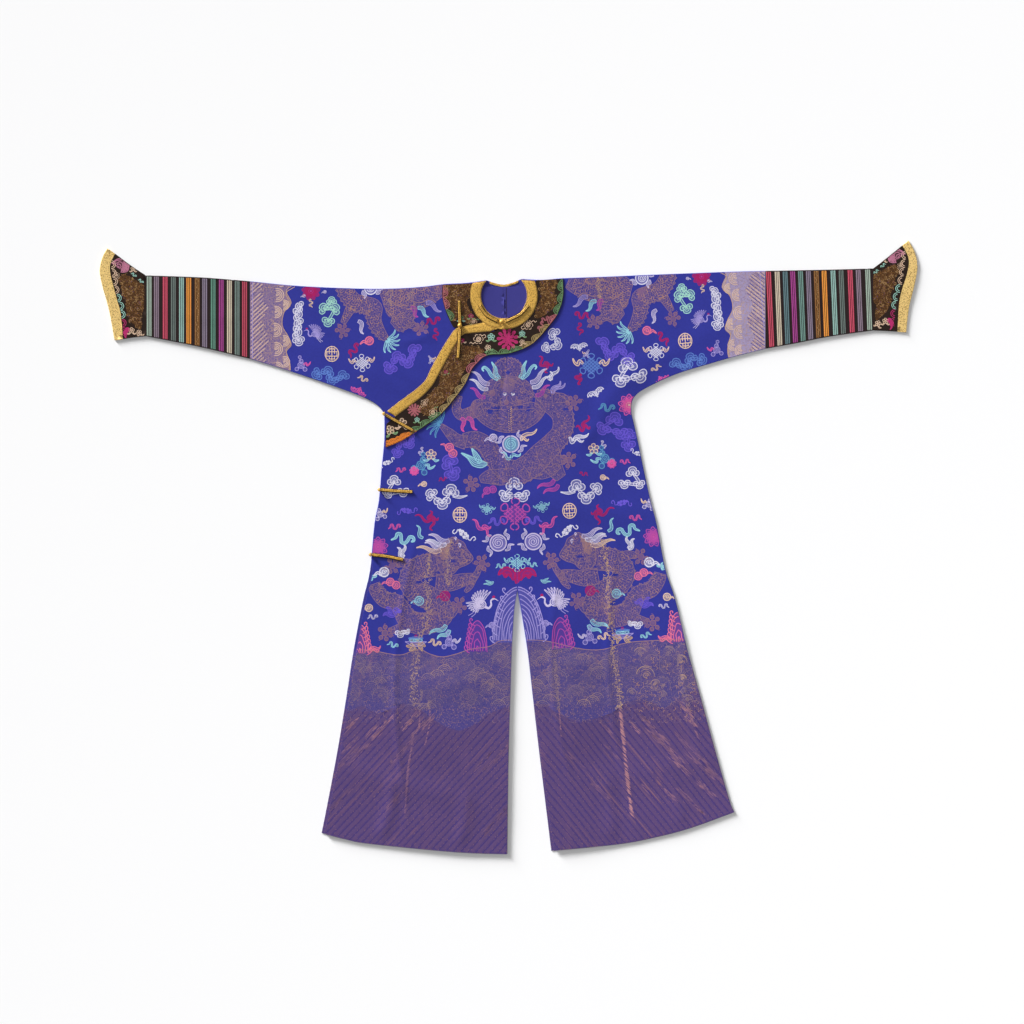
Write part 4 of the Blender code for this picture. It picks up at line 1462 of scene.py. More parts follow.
CHEST_CROWN = (
    (-1, 459), (21, 453), (33, 436), (28, 417), (14, 404), (-1, 414), (-16, 404), (-33, 417), (-35, 436),
    (-23, 453)
)
CHEST_FACE = (
    (-1, 417), (23, 412), (45, 404), (57, 387), (62, 368), (77, 353), (89, 334), (79, 314), (60, 297),
    (33, 284), (1, 279), (-30, 284), (-57, 297), (-79, 317), (-91, 339), (-84, 356), (-64, 363), (-57, 382),
    (-47, 404), (-25, 412)
)

SKIRT_LIMBS = (
    Limb(((-152, -35), (-188, -43), (-222, -52), (-239, -77), (-227, -104), (-195, -121), (-171, -138),
    (-161, -162), (-183, -181), (-215, -186), (-244, -176), (-259, -152), (-273, -133), (-300, -128),
    (-319, -108), (-327, -89)), (66, 66, 62, 60, 62, 64, 66, 62, 58, 58, 56, 48, 44, 42, 38, 34), -1),
    Limb(((-176, -84), (-142, -87), (-110, -79), (-86, -74)), (44, 44, 36, 26)),
    Limb(((-88, -79), (-76, -62), (-69, -45)), (22, 16, 12)),
    Limb(((-166, -162), (-142, -162), (-125, -145)), (40, 28, 14)),
    Limb(((-229, -45), (-254, -38), (-273, -43)), (30, 24, 14)),
    Limb(((-234, -186), (-263, -196), (-288, -203)), (36, 26, 14)),
    Limb(((-84, -72), (-93, -94), (-105, -108)), (20, 16, 8))
)
SKIRT_CLAWS = ((-64, -38, 60), (-283, -45, 190), (-120, -140, 50), (-300, -208, 220))
SKIRT_HEAD = (
    (-174, -31), (-171, -6), (-161, 8), (-149, 16), (-135, 25), (-120, 18), (-108, 11), (-101, -4),
    (-93, -14), (-86, -26), (-91, -35), (-103, -43), (-120, -50), (-137, -65), (-166, -60)
)
SKIRT_BROW = ((-166, -21), (-164, -4), (-152, 8), (-137, 20), (-142, 3), (-147, -21), (-159, -31))
SKIRT_EYE = (-119, 6)
SKIRT_HORN = (-129, 22)
SKIRT_LINES = (
    ((-139, -4), (-125, -11), (-110, -6), (-96, -21)), ((-144, -21), (-127, -28), (-108, -28), (-91, -31)),
    ((-159, -43), (-139, -48), (-118, -45)), ((-149, -1), (-156, -14), (-159, -31))
)
SKIRT_CURLS = ((-103, -17, 4.5), (-115, -39, 4.0), (-154, -45, 5.0))
SKIRT_GAPS = ((-136, -33, 8.5, 2.2), (-170, -61, 8.0, 2.0), (-216, -84, 9.0, 3.6), (-104, -54, 5.0, 2.4))
CHEST_GAPS = (
    (-1, 425, 5.5, 4.0), (-45, 331, 6.5, 7.0), (-33, 338, 9.0, 2.4), (48, 336, 6.0, 6.0),
    (31, 342, 7.0, 2.6), (140, 336, 8.0, 3.0), (62, 356, 5.0, 8.0)
)
CHEST_GLOW = (
    (-14, 391, 7.0), (6, 404, 8.0), (-40, 375, 9.0), (-5, 352, 7.0), (27, 353, 6.0), (90, 368, 5.5)
)
SHOULDER_LIMBS = (
    Limb(((-402, 640), (-392, 616), (-373, 596), (-348, 589), (-327, 582), (-327, 557), (-317, 531),
    (-297, 506)), (40, 46, 48, 48, 46, 40, 34, 16), -1),
    Limb(((-300, 633), (-278, 608), (-263, 582), (-261, 553), (-278, 536)), (40, 74, 84, 66, 30), 1),
    Limb(((-273, 621), (-244, 613), (-210, 613), (-176, 625), (-156, 635)), (70, 76, 70, 52, 36), 0),
    Limb(((-259, 548), (-239, 543), (-220, 533)), (30, 24, 14)),
    Limb(((-380, 587), (-392, 565), (-402, 545)), (30, 22, 14))
)
SHOULDER_CLAWS = ((-404, 526, 250), (-212, 531, 320))
SHOULDER_FAN = ((-295, 504), 320)
SHOULDER_LINES = (
    ((-254, 625), (-234, 635), (-215, 623), (-195, 633)), ((-239, 601), (-215, 594), (-191, 604),
    (-176, 594)), ((-288, 601), (-268, 587), (-244, 589)), ((-205, 642), (-188, 621), (-166, 616))
)


# ---- Water ----
def curls(hoop: Hoop, form: Points, spacing: float, tone: Callable[[float, float], Colour]) -> None:
    """Covers a form with small arcs.

    Args:
        hoop: Where they are drawn.
        form: The outline.
        spacing: Their spacing.
        tone: Gives the colour at a place.
    """
    low, high = form.min(0), form.max(0)
    for number, y in enumerate(np.arange(low[1], high[1], spacing * 0.8)):
        row = np.arange(low[0] + (number % 2) * spacing / 2, high[0], spacing)
        for x in row[signed_distance(np.column_stack([row, np.full(len(row), y)]), form) > 2]:
            turn, radius = 360 * sparkle(y, x), spacing * (0.28 + 0.16 * sparkle(x + 1, y))
            hoop.line(arc(radius, turn, turn + 130 + 110 * sparkle(x, y + 1), 4, (x, y)), 1.3, tone(x, y),
                    fine=number % 2 == 1)


STRIPE_STEP = 9.0  # spacing of the points along a stripe
RUBBED_PLACES = 5  # how many each band has
SCALE_WIDTH = 34.0
SCALE_ROWS = 4  # the nested arcs in a scale


class WaterWork:
    """Draws the standing water, the rolling waves and their crests in gold thread."""

    def __init__(self, work: Needlework, pair: bool) -> None:
        """Takes the needlework to draw into, and whether everything is drawn on both sides."""
        self.hoop = Hoop(work, pair=pair)
        self.chance = np.random.default_rng(11)

    def stripes(self, outline: Points, lean: float, spacing: float, dark: Colour, pale: Colour,
            glow: Thread, over: Thread, widths: tuple[float, float], worn: float) -> None:
        """Draws diagonal bands between dark lines, with rubbed places in them.

        Args:
            outline: The area, in millimetres.
            lean: The lines' direction in degrees.
            spacing: The bands' spacing.
            dark: The colour of the lines between bands.
            pale: The colour of the thin lines within them.
            glow: The thread that shows where the cloth is rubbed.
            over: The cloth's own thread there.
            widths: The widths of the dark and of the thin pale lines, by the spacing.
            worn: How much the cloth is rubbed.
        """
        along = heading(lean)
        across = np.array([-along[1], along[0]])
        reach, ends = outline @ across, outline @ along

        def lay(level: float, start: float, end: float, width: float, tone: Colour, lift: float,
                taper: Taper = Taper.NONE) -> None:
            """Lays a wavering line along the lean, wherever it runs inside the outline.

            Args:
                level: Its place across the bands.
                start: Where it begins along them.
                end: Where it ends.
                width: Its width.
                tone: Its colour.
                lift: How far it rises over the cloth.
                taper: Where it runs to a point.
            """
            run = np.arange(start, end + STRIPE_STEP, STRIPE_STEP)
            line = run[:, None] * along + (level + 1.3 * np.sin(run / 70 + level / 40))[:, None] * across
            for first, last in runs(signed_distance(line, outline) > 0):
                self.hoop.line(line[first:last], width, tone, taper, lift=lift)

        for level in np.arange(reach.min(), reach.max(), spacing):
            lay(level, ends.min(), ends.max(), spacing * widths[0], dark, 0.03)
            lay(level + 0.55 * spacing, ends.min(), ends.max(), spacing * widths[1], pale, 0.08)
            for _ in range(RUBBED_PLACES):
                start = self.chance.uniform(ends.min(), ends.max())
                at = (level + spacing / 2) * across + start * along
                bright = worn * self.chance.uniform(0.1, 0.7) * (0.2 + glint(*at * 0.7))
                lay(level + spacing * self.chance.uniform(0.35, 0.7), start,
                        start + self.chance.uniform(20, 130), spacing * self.chance.uniform(0.15, 0.5),
                        dye(glow, bright, over), 0.1, Taper.BOTH)

    def scales(self, outline: Points) -> None:
        """Draws overlapping wave scales, each of nested arcs, brighter here and there."""
        low, high, width, rows = outline.min(0), outline.max(0), SCALE_WIDTH, SCALE_ROWS
        for number, y in enumerate(np.arange(low[1], high[1], width * 0.33)):
            for x in np.arange(low[0] + (number % 2) * width / 2, high[0] + width, width):
                shift = self.chance.uniform(-0.16, 0.16, 2) * width
                for row in range(rows):
                    radius = width * 0.5 * (1 - row / rows)
                    form = arc(radius, 15, 165, 9 if row == 0 else 6, (x + shift[0],
                            y + shift[1] - width * 0.2))
                    if signed_distance(form[[0, len(form) // 2, -1]], outline).min() > 1:
                        share = (0.03 + 0.6 * glint(x, y) ** 2) * (1 if row == 0 else 0.7)
                        self.hoop.line(form, 1.3 if row == 0 else 1.0, dye(T.GOLD, share, T.SMOKE),
                                fine=row > 1, lift=0.12)

    def swirl(self, at: tuple[float, float], radius: float, share: float) -> None:
        """Draws a rolling wave: nested arcs round a curl, under a crest of foam.

        Args:
            at: Its middle, in millimetres.
            radius: Its size.
            share: How bright its lines are.
        """
        hoop, tone = self.hoop, dye(T.GOLD, share, T.SMOKE)
        for number, part in enumerate((1.0, 0.84, 0.7, 0.56)):
            hoop.line(arc(radius * part, -70, 200 - 25 * number, 16, at), 1.5 if number == 0 else 1.0,
                    dye(T.GOLD, share * (1 if number == 0 else 0.7), T.SMOKE), fine=number == 2)
        hoop.line(spiral(radius * 0.36, 1.6, 0, at), 1.3, tone)
        for angle in range(10, 190, 30):
            foot = np.array(at) + radius * 1.05 * heading(angle)
            hoop.line(arc(radius * 0.2, angle - 100, angle + 120, 6, foot), 1.2, tone)

    def rubbed(self, path: Sequence, width: float, share: float, lean: float, seed: int) -> None:
        """Draws a fold's line where the silk has gone and the metal shows bright.

        Args:
            path: Its middle line, in millimetres.
            width: Its width.
            share: How bright it is.
            lean: The direction of the bands it crosses, in degrees.
            seed: The start of its random draws.
        """
        chance = np.random.default_rng(seed)
        middle = smooth(path, 6)
        for x, y in evenly(middle, 4.4):
            for _ in range(3):
                at = (x + chance.normal(0, width * 0.3), y + chance.uniform(-2.2, 2.2))
                tone = dye(T.GOLD, share * chance.uniform(0.35, 1.0), T.MAUVE)
                if y > BANDS_FROM:
                    turn = chance.uniform(0, 360)
                    self.hoop.line(arc(chance.uniform(1.8, 3.2), turn, turn + 170, 4, at), 1.2, tone,
                            lift=0.2)
                elif chance.uniform() < 0.75 and (x * 0.68 + y * 0.73) % 13.5 > 3.5:
                    reach = width * chance.uniform(0.25, 0.6)
                    run = heading(lean) * reach
                    self.hoop.line(np.array([-run, run * 0, run]) + (x, at[1]), chance.uniform(2.0, 4.4),
                            dye(T.WORN, share * chance.uniform(0.4, 1.0), T.HEM), Taper.BOTH)

    def glow(self, at: tuple[float, float], reach: float, width: float, share: float, lean: float) -> None:
        """Draws a short worn stretch of a band, uneven and broken.

        Args:
            at: Its middle, in millimetres.
            reach: Its length.
            width: Its width.
            share: How bright it is.
            lean: The band's direction in degrees.
        """
        run = heading(lean)
        across = np.array([-run[1], run[0]])
        for number in range(max(8, int(reach * width / 15))):
            middle = (sparkle(at[0], number) - 0.5) * reach * 1.5 * run
            middle = middle + (sparkle(number, at[1]) - 0.5) * width * across
            half = run * (4 + 8 * sparkle(number, reach))
            tone = dye(T.WORN, share * (0.3 + 0.5 * sparkle(number, 3)), T.HEM)
            self.hoop.line(np.array([middle - half, middle, middle + half]) + at, 1.8, tone, Taper.BOTH,
                    fine=number % 3 > 0, lift=0.12)


def runs(flags: np.ndarray) -> list[tuple[int, int]]:
    """The stretches of at least two true flags, as start and end."""
    edges = np.flatnonzero(np.diff(np.concatenate([[0], flags.astype(int), [0]])))
    return [(start, end) for start, end in zip(edges[::2], edges[1::2]) if end - start > 1]


# ---- Where each motif sits ----
@dataclass(frozen=True)
class Place:
    """A motif's place on the robe and, mirrored, on its other side, in millimetres and degrees."""

    motif: Motif
    x: float
    y: float
    turn: float = 0.0
    size: float = 1.0
    flip: bool = False
    PAIR = True

    def stitch(self, work: Needlework) -> None:
        """Draws the motif here."""
        self.motif.stitch(Hoop(work, (self.x, self.y), self.turn, self.size, self.flip, self.PAIR))


class Lone(Place):
    """The place of a motif that isn't drawn again on the other side."""

    PAIR = False


ROW = ((-31, 6, 50, 1.0), (-5, -11, 184, 1.25), (16, 13, -6, 1.25))
ROW_TAIL = ((22, 4), (38, 0), (56, 4))
TREFOIL = ((0, 14, 0, 1.25), (-20, -10, 165, 1.1), (20, -10, 195, 1.1))
CHAIN = ((6, 40, 80, 0.8), (-3, 21, -85, 0.95), (4, -2, 75, 0.9), (-4, -22, -95, 0.95), (2, -42, 190, 0.9))
STEM = ((6, 26, 0, 0.75), (-11, 8, 40, 0.95), (12, 7, -40, 1.0), (-2, -22, 170, 0.95))
DIAGONAL = ((-34, -15, 140, 1.05), (-12, 2, 10, 1.1), (8, -9, 190, 1.1), (30, 11, 40, 1.1))
HALF = ((2, 11, -10, 1.2), (-8, -11, 165, 1.15))

FIELD = (
    # sleeves
    Place(Lotus(T.CRIMSON, T.MAGENTA), -480, 623), Place(Ribbon(T.CREAM), -480, 594, 90, 0.5),
    Place(Curl(T.PALE, count=1), -497, 611, 0, 0.5), Place(Curl(T.PALE, count=1), -446, 621, 0, 0.5),
    Place(Cloud(T.WHITE, heads=CHAIN), -512, 545),
    Place(Crane(T.LAVENDER, T.PALE), -470, 519, 8, 0.82, True), Place(Cloud(T.MINT, heads=STEM), -436, 572),
    Place(Shou(T.CREAM), -429, 470, 0, 0.98), Place(Emblem(T.LAVENDER, flag=T.PINK), -504, 443, 0, 0.8),
    Place(Cloud(T.BLUE, heads=DIAGONAL), -431, 419, -28, 0.9), Place(Ribbon(T.CRIMSON), -375, 480, 50, 0.9),
    Place(Knot(T.WHITE, T.CREAM), -356, 448, 4, 0.95), Place(Ribbon(T.CREAM), -353, 409, -30, 0.62),
    Place(Bat(T.PINK), -363, 382, 150, 0.85), Place(Flames(T.PALE, tongues=((-66, 34, 9),)), -365, 550),
    Place(Pearl(T.WHITE, T.PALE, core=T.LAVENDER, radius=16), -335, 630),
    Place(Curl(T.CORAL, count=1), -338, 502, 0, 1.4),
    Place(Cloud(T.VIOLET, heads=DIAGONAL), -256, 460, 12, 1.05),
    Place(Flames(T.MAGENTA, tongues=((-50, 28, 10),)), -237, 582),
    Place(Flames(T.AQUA, tongues=((-38, 34, 9),)), -220, 582),
    Place(Flames(T.LAVENDER, tongues=((-28, 42, 10),)), -200, 594),
    Place(Ribbon(T.CRIMSON), -183, 550, 10, 0.9), Place(Ribbon(T.CRIMSON), -176, 519, 80, 0.7),
    Place(Emblem(T.PALE), -188, 455, 20, 0.42),
    # beside the collar, on the wearer's left
    Lone(Cloud(T.WHITE, heads=ROW), 111, 502, 52, 0.8), Lone(Bat(T.WHITE), 172, 485, 8, 0.85),
    Lone(Flames(T.CRIMSON, tongues=((120, 26, 5), (20, 22, 5), (-60, 18, 4)), bend=7), 87, 441),
    Lone(Knot(T.BLUE, T.CREAM), 201, 441, 0, 1.35), Lone(Cloud(T.WHITE, heads=TREFOIL), 293, 424, 12, 1.15),
    Lone(Flames(T.CRIMSON, tongues=((80, 14, 5), (-60, 14, 5)), bend=7), 169, 409),
    Lone(Bat(T.WHITE), 213, 373, 28, 0.9), Lone(Lotus(T.PINK, T.CREAM, radius=26), 293, 346),
    Lone(Ribbon(T.TEAL), 240, 339, -8, 0.95),
    Lone(Flames(T.CRIMSON, tongues=((75, 32, 5), (180, 20, 5), (20, 14, 5)), bend=7), 184, 290),
    Lone(Cloud(T.VIOLET, heads=TREFOIL), 254, 295, -14, 1.05),
    Lone(Cloud(T.VIOLET, heads=HALF), 295, 261, 20, 0.95),
    Lone(Flames(T.WHITE, tongues=((28, 40, 9), (160, 14, 8), (5, 24, 6))), 159, 259),
    # round the chest dragon
    Place(Horns(T.AQUA), -23, 409, 10, 1.15, True),
    Place(Flames(T.PALE, tongues=((146, 52, 10),)), -47, 397),
    Place(Flames(T.WHITE, tongues=((154, 50, 9),)), -50, 385),
    Place(Flames(T.MAGENTA, tongues=((150, 42, 9),)), -57, 365),
    Lone(Flames(T.WHITE, tongues=((62, 36, 8), (100, 20, 6))), 104, 407),
    Lone(Flames(T.LAVENDER, tongues=((60, 34, 9), (40, 38, 8))), 108, 375),
    Lone(Flames(T.PINK, tongues=((-76, 34, 9),)), -115, 314),
    Lone(Flames(T.PINK, tongues=((-48, 38, 9),)), -101, 314),
    Lone(Curl(T.CORAL, radius=10), -137, 239, -32),
    Lone(Pearl(T.PALE, T.PALE, core=T.AQUA, radius=21), 6, 251),
    Lone(Flames(T.CREAM, tongues=((36, 46, 8), (10, 18, 6))), 31, 261),
    Lone(Flames(T.AQUA, tongues=((152, 26, 6), (28, 26, 6))), 6, 217),
    Lone(Curl(T.PALE, count=1), -37, 266, 0, 1.3), Lone(Fish(T.AQUA), -81, 212, -6, 1.35),
    Lone(Cloud(T.VIOLET, heads=HALF), -137, 195, 40, 1.1), Lone(Curl(T.MAGENTA, radius=8.5), -47, 142, 40),
    Lone(Flames(T.MAGENTA, tongues=((208, 46, 9),)), 111, 164),
    Lone(Flames(T.MAGENTA, tongues=((212, 42, 9),)), 121, 152),
    Lone(Cloud(T.WHITE, heads=TREFOIL), 14, 137),
    Lone(Cloud(T.VIOLET, heads=DIAGONAL), -251, 256, 30, 0.85),
    Place(Creature(T.WHITE), -295, 205, 60, 0.7), Place(Emblem(T.TEAL, flag=T.AQUA), -212, 200, -20, 1.1),
    Place(Sprig(T.CREAM, T.AQUA), -188, 225, 0, 1.05),
    Place(Lotus(T.PINK, T.CRIMSON, radius=11), -229, 186), Place(Ribbon(T.PINK), -261, 188, 0, 0.6),
    Place(Ribbon(T.PALE), -212, 234, 60, 0.5), Place(Curl(T.CREAM, count=1), -205, 154, 0, 0.9),
    Place(Ribbon(T.CRIMSON), -159, 166, 10, 0.5),
    # the middle
    Place(Cloud(T.WHITE, heads=ROW, tail=ROW_TAIL), -156, 122),
    Place(Cloud(T.WHITE, heads=((0, 18, 0, 1.0), (-14, -10, 176, 0.85), (22, -6, 184, 0.9))), -278, 142),
    Place(Creature(T.VIOLET), -246, 88, 35, 0.85), Place(Shou(T.CREAM), -118, 79, 0, 0.98),
    Place(Knot(T.AQUA, T.AQUA), -52, 93, -8, 0.6),
    Lone(Knot(T.MAGENTA, T.PINK, ribbons=False), 16, 81, -2, 1.75),
    Place(Ribbon(T.VIOLET), -28, 62, -6, 0.95),
    Place(Flames(T.CRIMSON, tongues=((168, 40, 5), (100, 22, 5), (20, 18, 5), (-80, 26, 5)), bend=7), -188,
    67), Place(Flames(T.PINK, tongues=((140, 34, 7), (20, 20, 7), (-40, 26, 5))), -62, 45),
    Place(Pearl(T.PALE, T.PALE, core=T.LAVENDER, radius=21), -25, 11),
    Place(Creature(T.WHITE), -108, 30, 4), Place(Emblem(T.PALE), -312, 81, 20, 0.75),
    Place(Ribbon(T.PINK), -276, 50, 0, 0.72), Place(Ribbon(T.AQUA), -254, 20, -14, 1.35),
    Place(Flames(T.AQUA, tongues=((118, 34, 7),)), -208, 23),
    Place(Lotus(T.MAGENTA, T.PINK, radius=24), -317, 1),
    Place(Flames(T.WHITE, tongues=((128, 28, 9), (92, 30, 9))), -254, -23),
    Lone(Knot(T.AQUA, T.AQUA), 21, -38, 0, 0.95), Place(Ribbon(T.AQUA), -18, -45, 4, 0.6),
    Lone(Bat(T.CRIMSON), 21, -72, -2, 1.9), Place(Fish(T.AQUA), -47, -87, 30, 0.5),
    # round the skirts' dragons
    Place(Flames(T.PALE, tongues=((165, 52, 11),)), -144, 16),
    Place(Flames(T.WHITE, tongues=((172, 50, 10),)), -152, 8),
    Place(Flames(T.CREAM, tongues=((176, 60, 10),)), -164, -6),
    Place(Flames(T.PALE, tongues=((170, 40, 9),)), -164, 3),
    Place(Curl(T.WHITE, count=1), -302, -60, 0, 1.6), Place(Curl(T.CORAL, radius=9.5), -280, -84),
    Place(Flames(T.AQUA, tongues=((110, 16, 5), (60, 16, 5))), -331, -79),
    Place(Curl(T.CRIMSON, count=1, radius=12), -154, -118),
    Place(Curl(T.AQUA, count=1, radius=11), -217, -130),
    Place(Flames(T.VIOLET, tongues=((200, 30, 12), (160, 24, 12), (20, 16, 10))), -276, -157),
    Place(Curl(T.CREAM, count=1, radius=9), -339, -147), Place(Ribbon(T.PALE), -329, -169, 0, 0.6),
    Place(Crane(T.PALE, T.LAVENDER), -67, -138, -10, 1.25),
    Lone(Mountain(T.LAVENDER, width=128, height=134, rows=11, crests=(-1, 1)), 26, -230, 2),
    Place(Mountain(T.MAGENTA, width=48, height=76, rows=4, crests=(-1,)), -76, -254),
    Place(Mountain(T.CORAL, width=44, height=72, rows=4, crests=(1,)), -361, -259),
    Place(Flames(T.CORAL, tongues=((30, 26, 7), (10, 20, 6))), -334, -252),
    Place(Vase(T.LAVENDER), -225, -232, 0, 0.92),
    Place(Emblem(T.LAVENDER, flag=T.PALE), -144, -230, 0, 0.95),
    Place(Ribbon(T.CREAM), -178, -232, -20, 0.75), Place(Ribbon(T.AQUA), -280, -237, -20, 0.65),
    Place(Flames(T.AQUA, tongues=((210, 46, 10),)), -152, -189),
    Place(Flames(T.AQUA, tongues=((218, 36, 9),)), -144, -201),
    Place(Cloud(T.WHITE, heads=((-4, 0, 185, 0.75), (12, 4, 200, 0.5))), -259, -208),
    Place(Curl(T.LAVENDER, count=1, radius=7), -40, -189),
)
# What only the back shows, where the front has its collar and overlap.
BACK_ONLY = (
    Place(Cloud(T.WHITE, heads=ROW, tail=ROW_TAIL), -98, 557, 12),
    Lone(Cloud(T.VIOLET, heads=TREFOIL), -1, 601, 0, 1.1),
    Place(Flames(T.CRIMSON, tongues=((168, 40, 5), (100, 22, 5), (20, 18, 5)), bend=7), -54, 492),
    Lone(Bat(T.PINK), -1, 528, 180, 1.2), Place(Cloud(T.MINT, heads=TREFOIL), -147, 395, 10),
    Place(Emblem(T.TEAL, flag=T.AQUA), -203, 358), Place(Shou(T.CREAM), -137, 492),
    Place(Cloud(T.WHITE, heads=ROW), -276, 363, 40, 0.9),
    Place(Crane(T.PALE, T.LAVENDER), -166, 297, 10, 0.8),
    Place(Cloud(T.VIOLET, heads=DIAGONAL), -259, 285, 60, 0.9), Place(Ribbon(T.AQUA), -93, 455, 30, 0.9)
)

WATER_TOP = (
    (-434, -257), (-368, -249), (-324, -252), (-288, -259), (-259, -261), (-234, -252), (-212, -249),
    (-191, -259), (-161, -266), (-127, -259), (-98, -249), (-69, -244), (-45, -240), (-20, -227),
    (14, -225), (52, -225), (89, -227), (125, -235), (162, -244), (198, -249), (235, -247), (266, -237),
    (300, -230), (344, -227), (388, -225), (466, -225)
)
STANDING = (
    ((-506, -381), (-421, -383), (-385, -398), (-356, -383), (-317, -405), (-283, -390), (-254, -378),
    (-215, -390), (-188, -415), (-152, -436), (-118, -446), (-79, -429), (-50, -405), (-13, -390),
    (26, -381), (26, -784), (-506, -784)), ((26, -376), (89, -381), (116, -400), (140, -412), (174, -424),
    (213, -415), (252, -402), (283, -378), (320, -368), (349, -376), (378, -393), (407, -371), (441, -351),
    (514, -337), (611, -784), (26, -784))
)
SLEEVE_WATER = (
    (-642, 694), (-536, 694), (-514, 647), (-540, 625), (-528, 594), (-545, 574), (-550, 540), (-536, 514),
    (-528, 492), (-540, 475), (-531, 446), (-533, 417), (-555, 378), (-642, 407)
)
SLEEVE_STANDING = (
    (-642, 694), (-599, 694), (-587, 660), (-599, 621), (-582, 587), (-596, 548), (-579, 509), (-594, 475),
    (-582, 441), (-584, 378), (-642, 407)
)
SLEEVE_SEAM = ((-622, 694), (-622, 378))
LEAN = 47.0
BANDS_FROM = -392.0  # below this height the hem's water stands in bands
SWIRLS = (
    (-368, -283, 9), (-331, -312, 12), (-283, -293, 10), (-239, -342, 12), (-191, -298, 11),
    (-147, -332, 12), (-103, -293, 11), (-59, -327, 12), (-20, -274, 10), (-8, -351, 11), (-312, -361, 10),
    (-385, -351, 12), (-195, -364, 9), (-98, -366, 10)
)
GLOWS = (
    (-380, -429, 30, 9, 0.8), (-334, -446, 22, 8, 0.7), (-307, -436, 46, 10, 0.8), (-327, -466, 44, 9, 0.6),
    (-239, -422, 34, 11, 1.0), (-220, -441, 30, 8, 0.7), (-195, -424, 30, 9, 0.8), (-385, -480, 34, 8, 0.5),
    (-399, -517, 60, 12, 0.4), (-370, -507, 50, 8, 0.4), (-259, -497, 60, 10, 0.4),
    (-276, -614, 40, 10, 0.4), (-20, -504, 70, 10, 0.35), (-64, -521, 40, 8, 0.4), (-28, -662, 60, 12, 0.3),
    (-409, -614, 60, 10, 0.3), (436, -398, 22, 9, 1.0), (441, -422, 24, 8, 0.9), (419, -378, 26, 8, 0.6),
    (308, -439, 20, 10, 0.9), (339, -424, 26, 8, 0.7), (240, -441, 18, 8, 0.6), (356, -444, 60, 8, 0.6),
    (388, -487, 70, 9, 0.7), (415, -529, 44, 10, 0.8), (373, -480, 80, 8, 0.5), (441, -487, 70, 8, 0.5),
    (466, -529, 60, 9, 0.5), (480, -587, 36, 12, 0.7), (395, -602, 26, 10, 0.7), (334, -587, 20, 8, 0.5),
    (252, -497, 30, 8, 0.4), (223, -590, 40, 10, 0.4), (441, -614, 60, 10, 0.5), (502, -553, 40, 9, 0.5),
    (162, -517, 40, 8, 0.35)
)
RIGHT_SWIRLS = (
    (334, -312, 24, 0.75), (419, -278, 17, 0.85), (422, -320, 11, 0.9), (356, -332, 12, 0.75),
    (300, -354, 12, 0.5), (220, -315, 26, 0.35), (193, -278, 18, 0.3), (436, -371, 13, 0.5),
    (320, -259, 16, 0.5), (388, -257, 17, 0.55), (373, -361, 13, 0.4), (-93, -322, 20, 0.3)
)
RUBBED = (
    (((-283, 642), (-290, 591)), 16, 0.8, LEAN, 12), (((-227, 642), (-242, 601)), 12, 0.55, LEAN, 13),
    (((215, 652), (223, 606)), 12, 1.0, LEAN, 14), (((-193, -21), (-198, -79), (-195, -140), (-205, -196),
    (-220, -237), (-229, -322), (-232, -383)), 17, 0.95, LEAN, 1), (((-232, -456), (-237, -497),
    (-244, -541), (-251, -643)), 11, 0.35, LEAN, 9), (((-212, -347), (-215, -383), (-217, -444)), 7, 0.5,
    LEAN, 2), (((-193, -371), (-191, -424), (-203, -480)), 7, 0.5, LEAN, 3),
    (((230, 16), (240, -79), (247, -152), (254, -237), (264, -322), (274, -390)), 16, 1.0, 129, 4),
    (((271, -385), (278, -456), (288, -553), (300, -650)), 17, 1.0, 133, 10),
    (((271, -390), (276, -444), (283, -504)), 11, 1.0, 133, 11), (((113, -274), (121, -371), (128, -456)),
    6, 0.6, 129, 5), (((412, -261), (424, -347), (446, -419), (463, -468)), 14, 0.5, 129, 6),
    (((339, -327), (359, -347), (378, -332)), 14, 0.5, 129, 7), (((-139, 18), (-149, -6), (-147, -35),
    (-149, -89)), 15, 0.85, LEAN, 8)
)
SLEEVE_SWIRLS = (
    (-553, 647, 6.5), (-562, 613, 8), (-545, 589, 6), (-565, 572, 7), (-567, 528, 8), (-545, 502, 6.5),
    (-565, 482, 8), (-545, 451, 6.5), (-562, 436, 7)
)


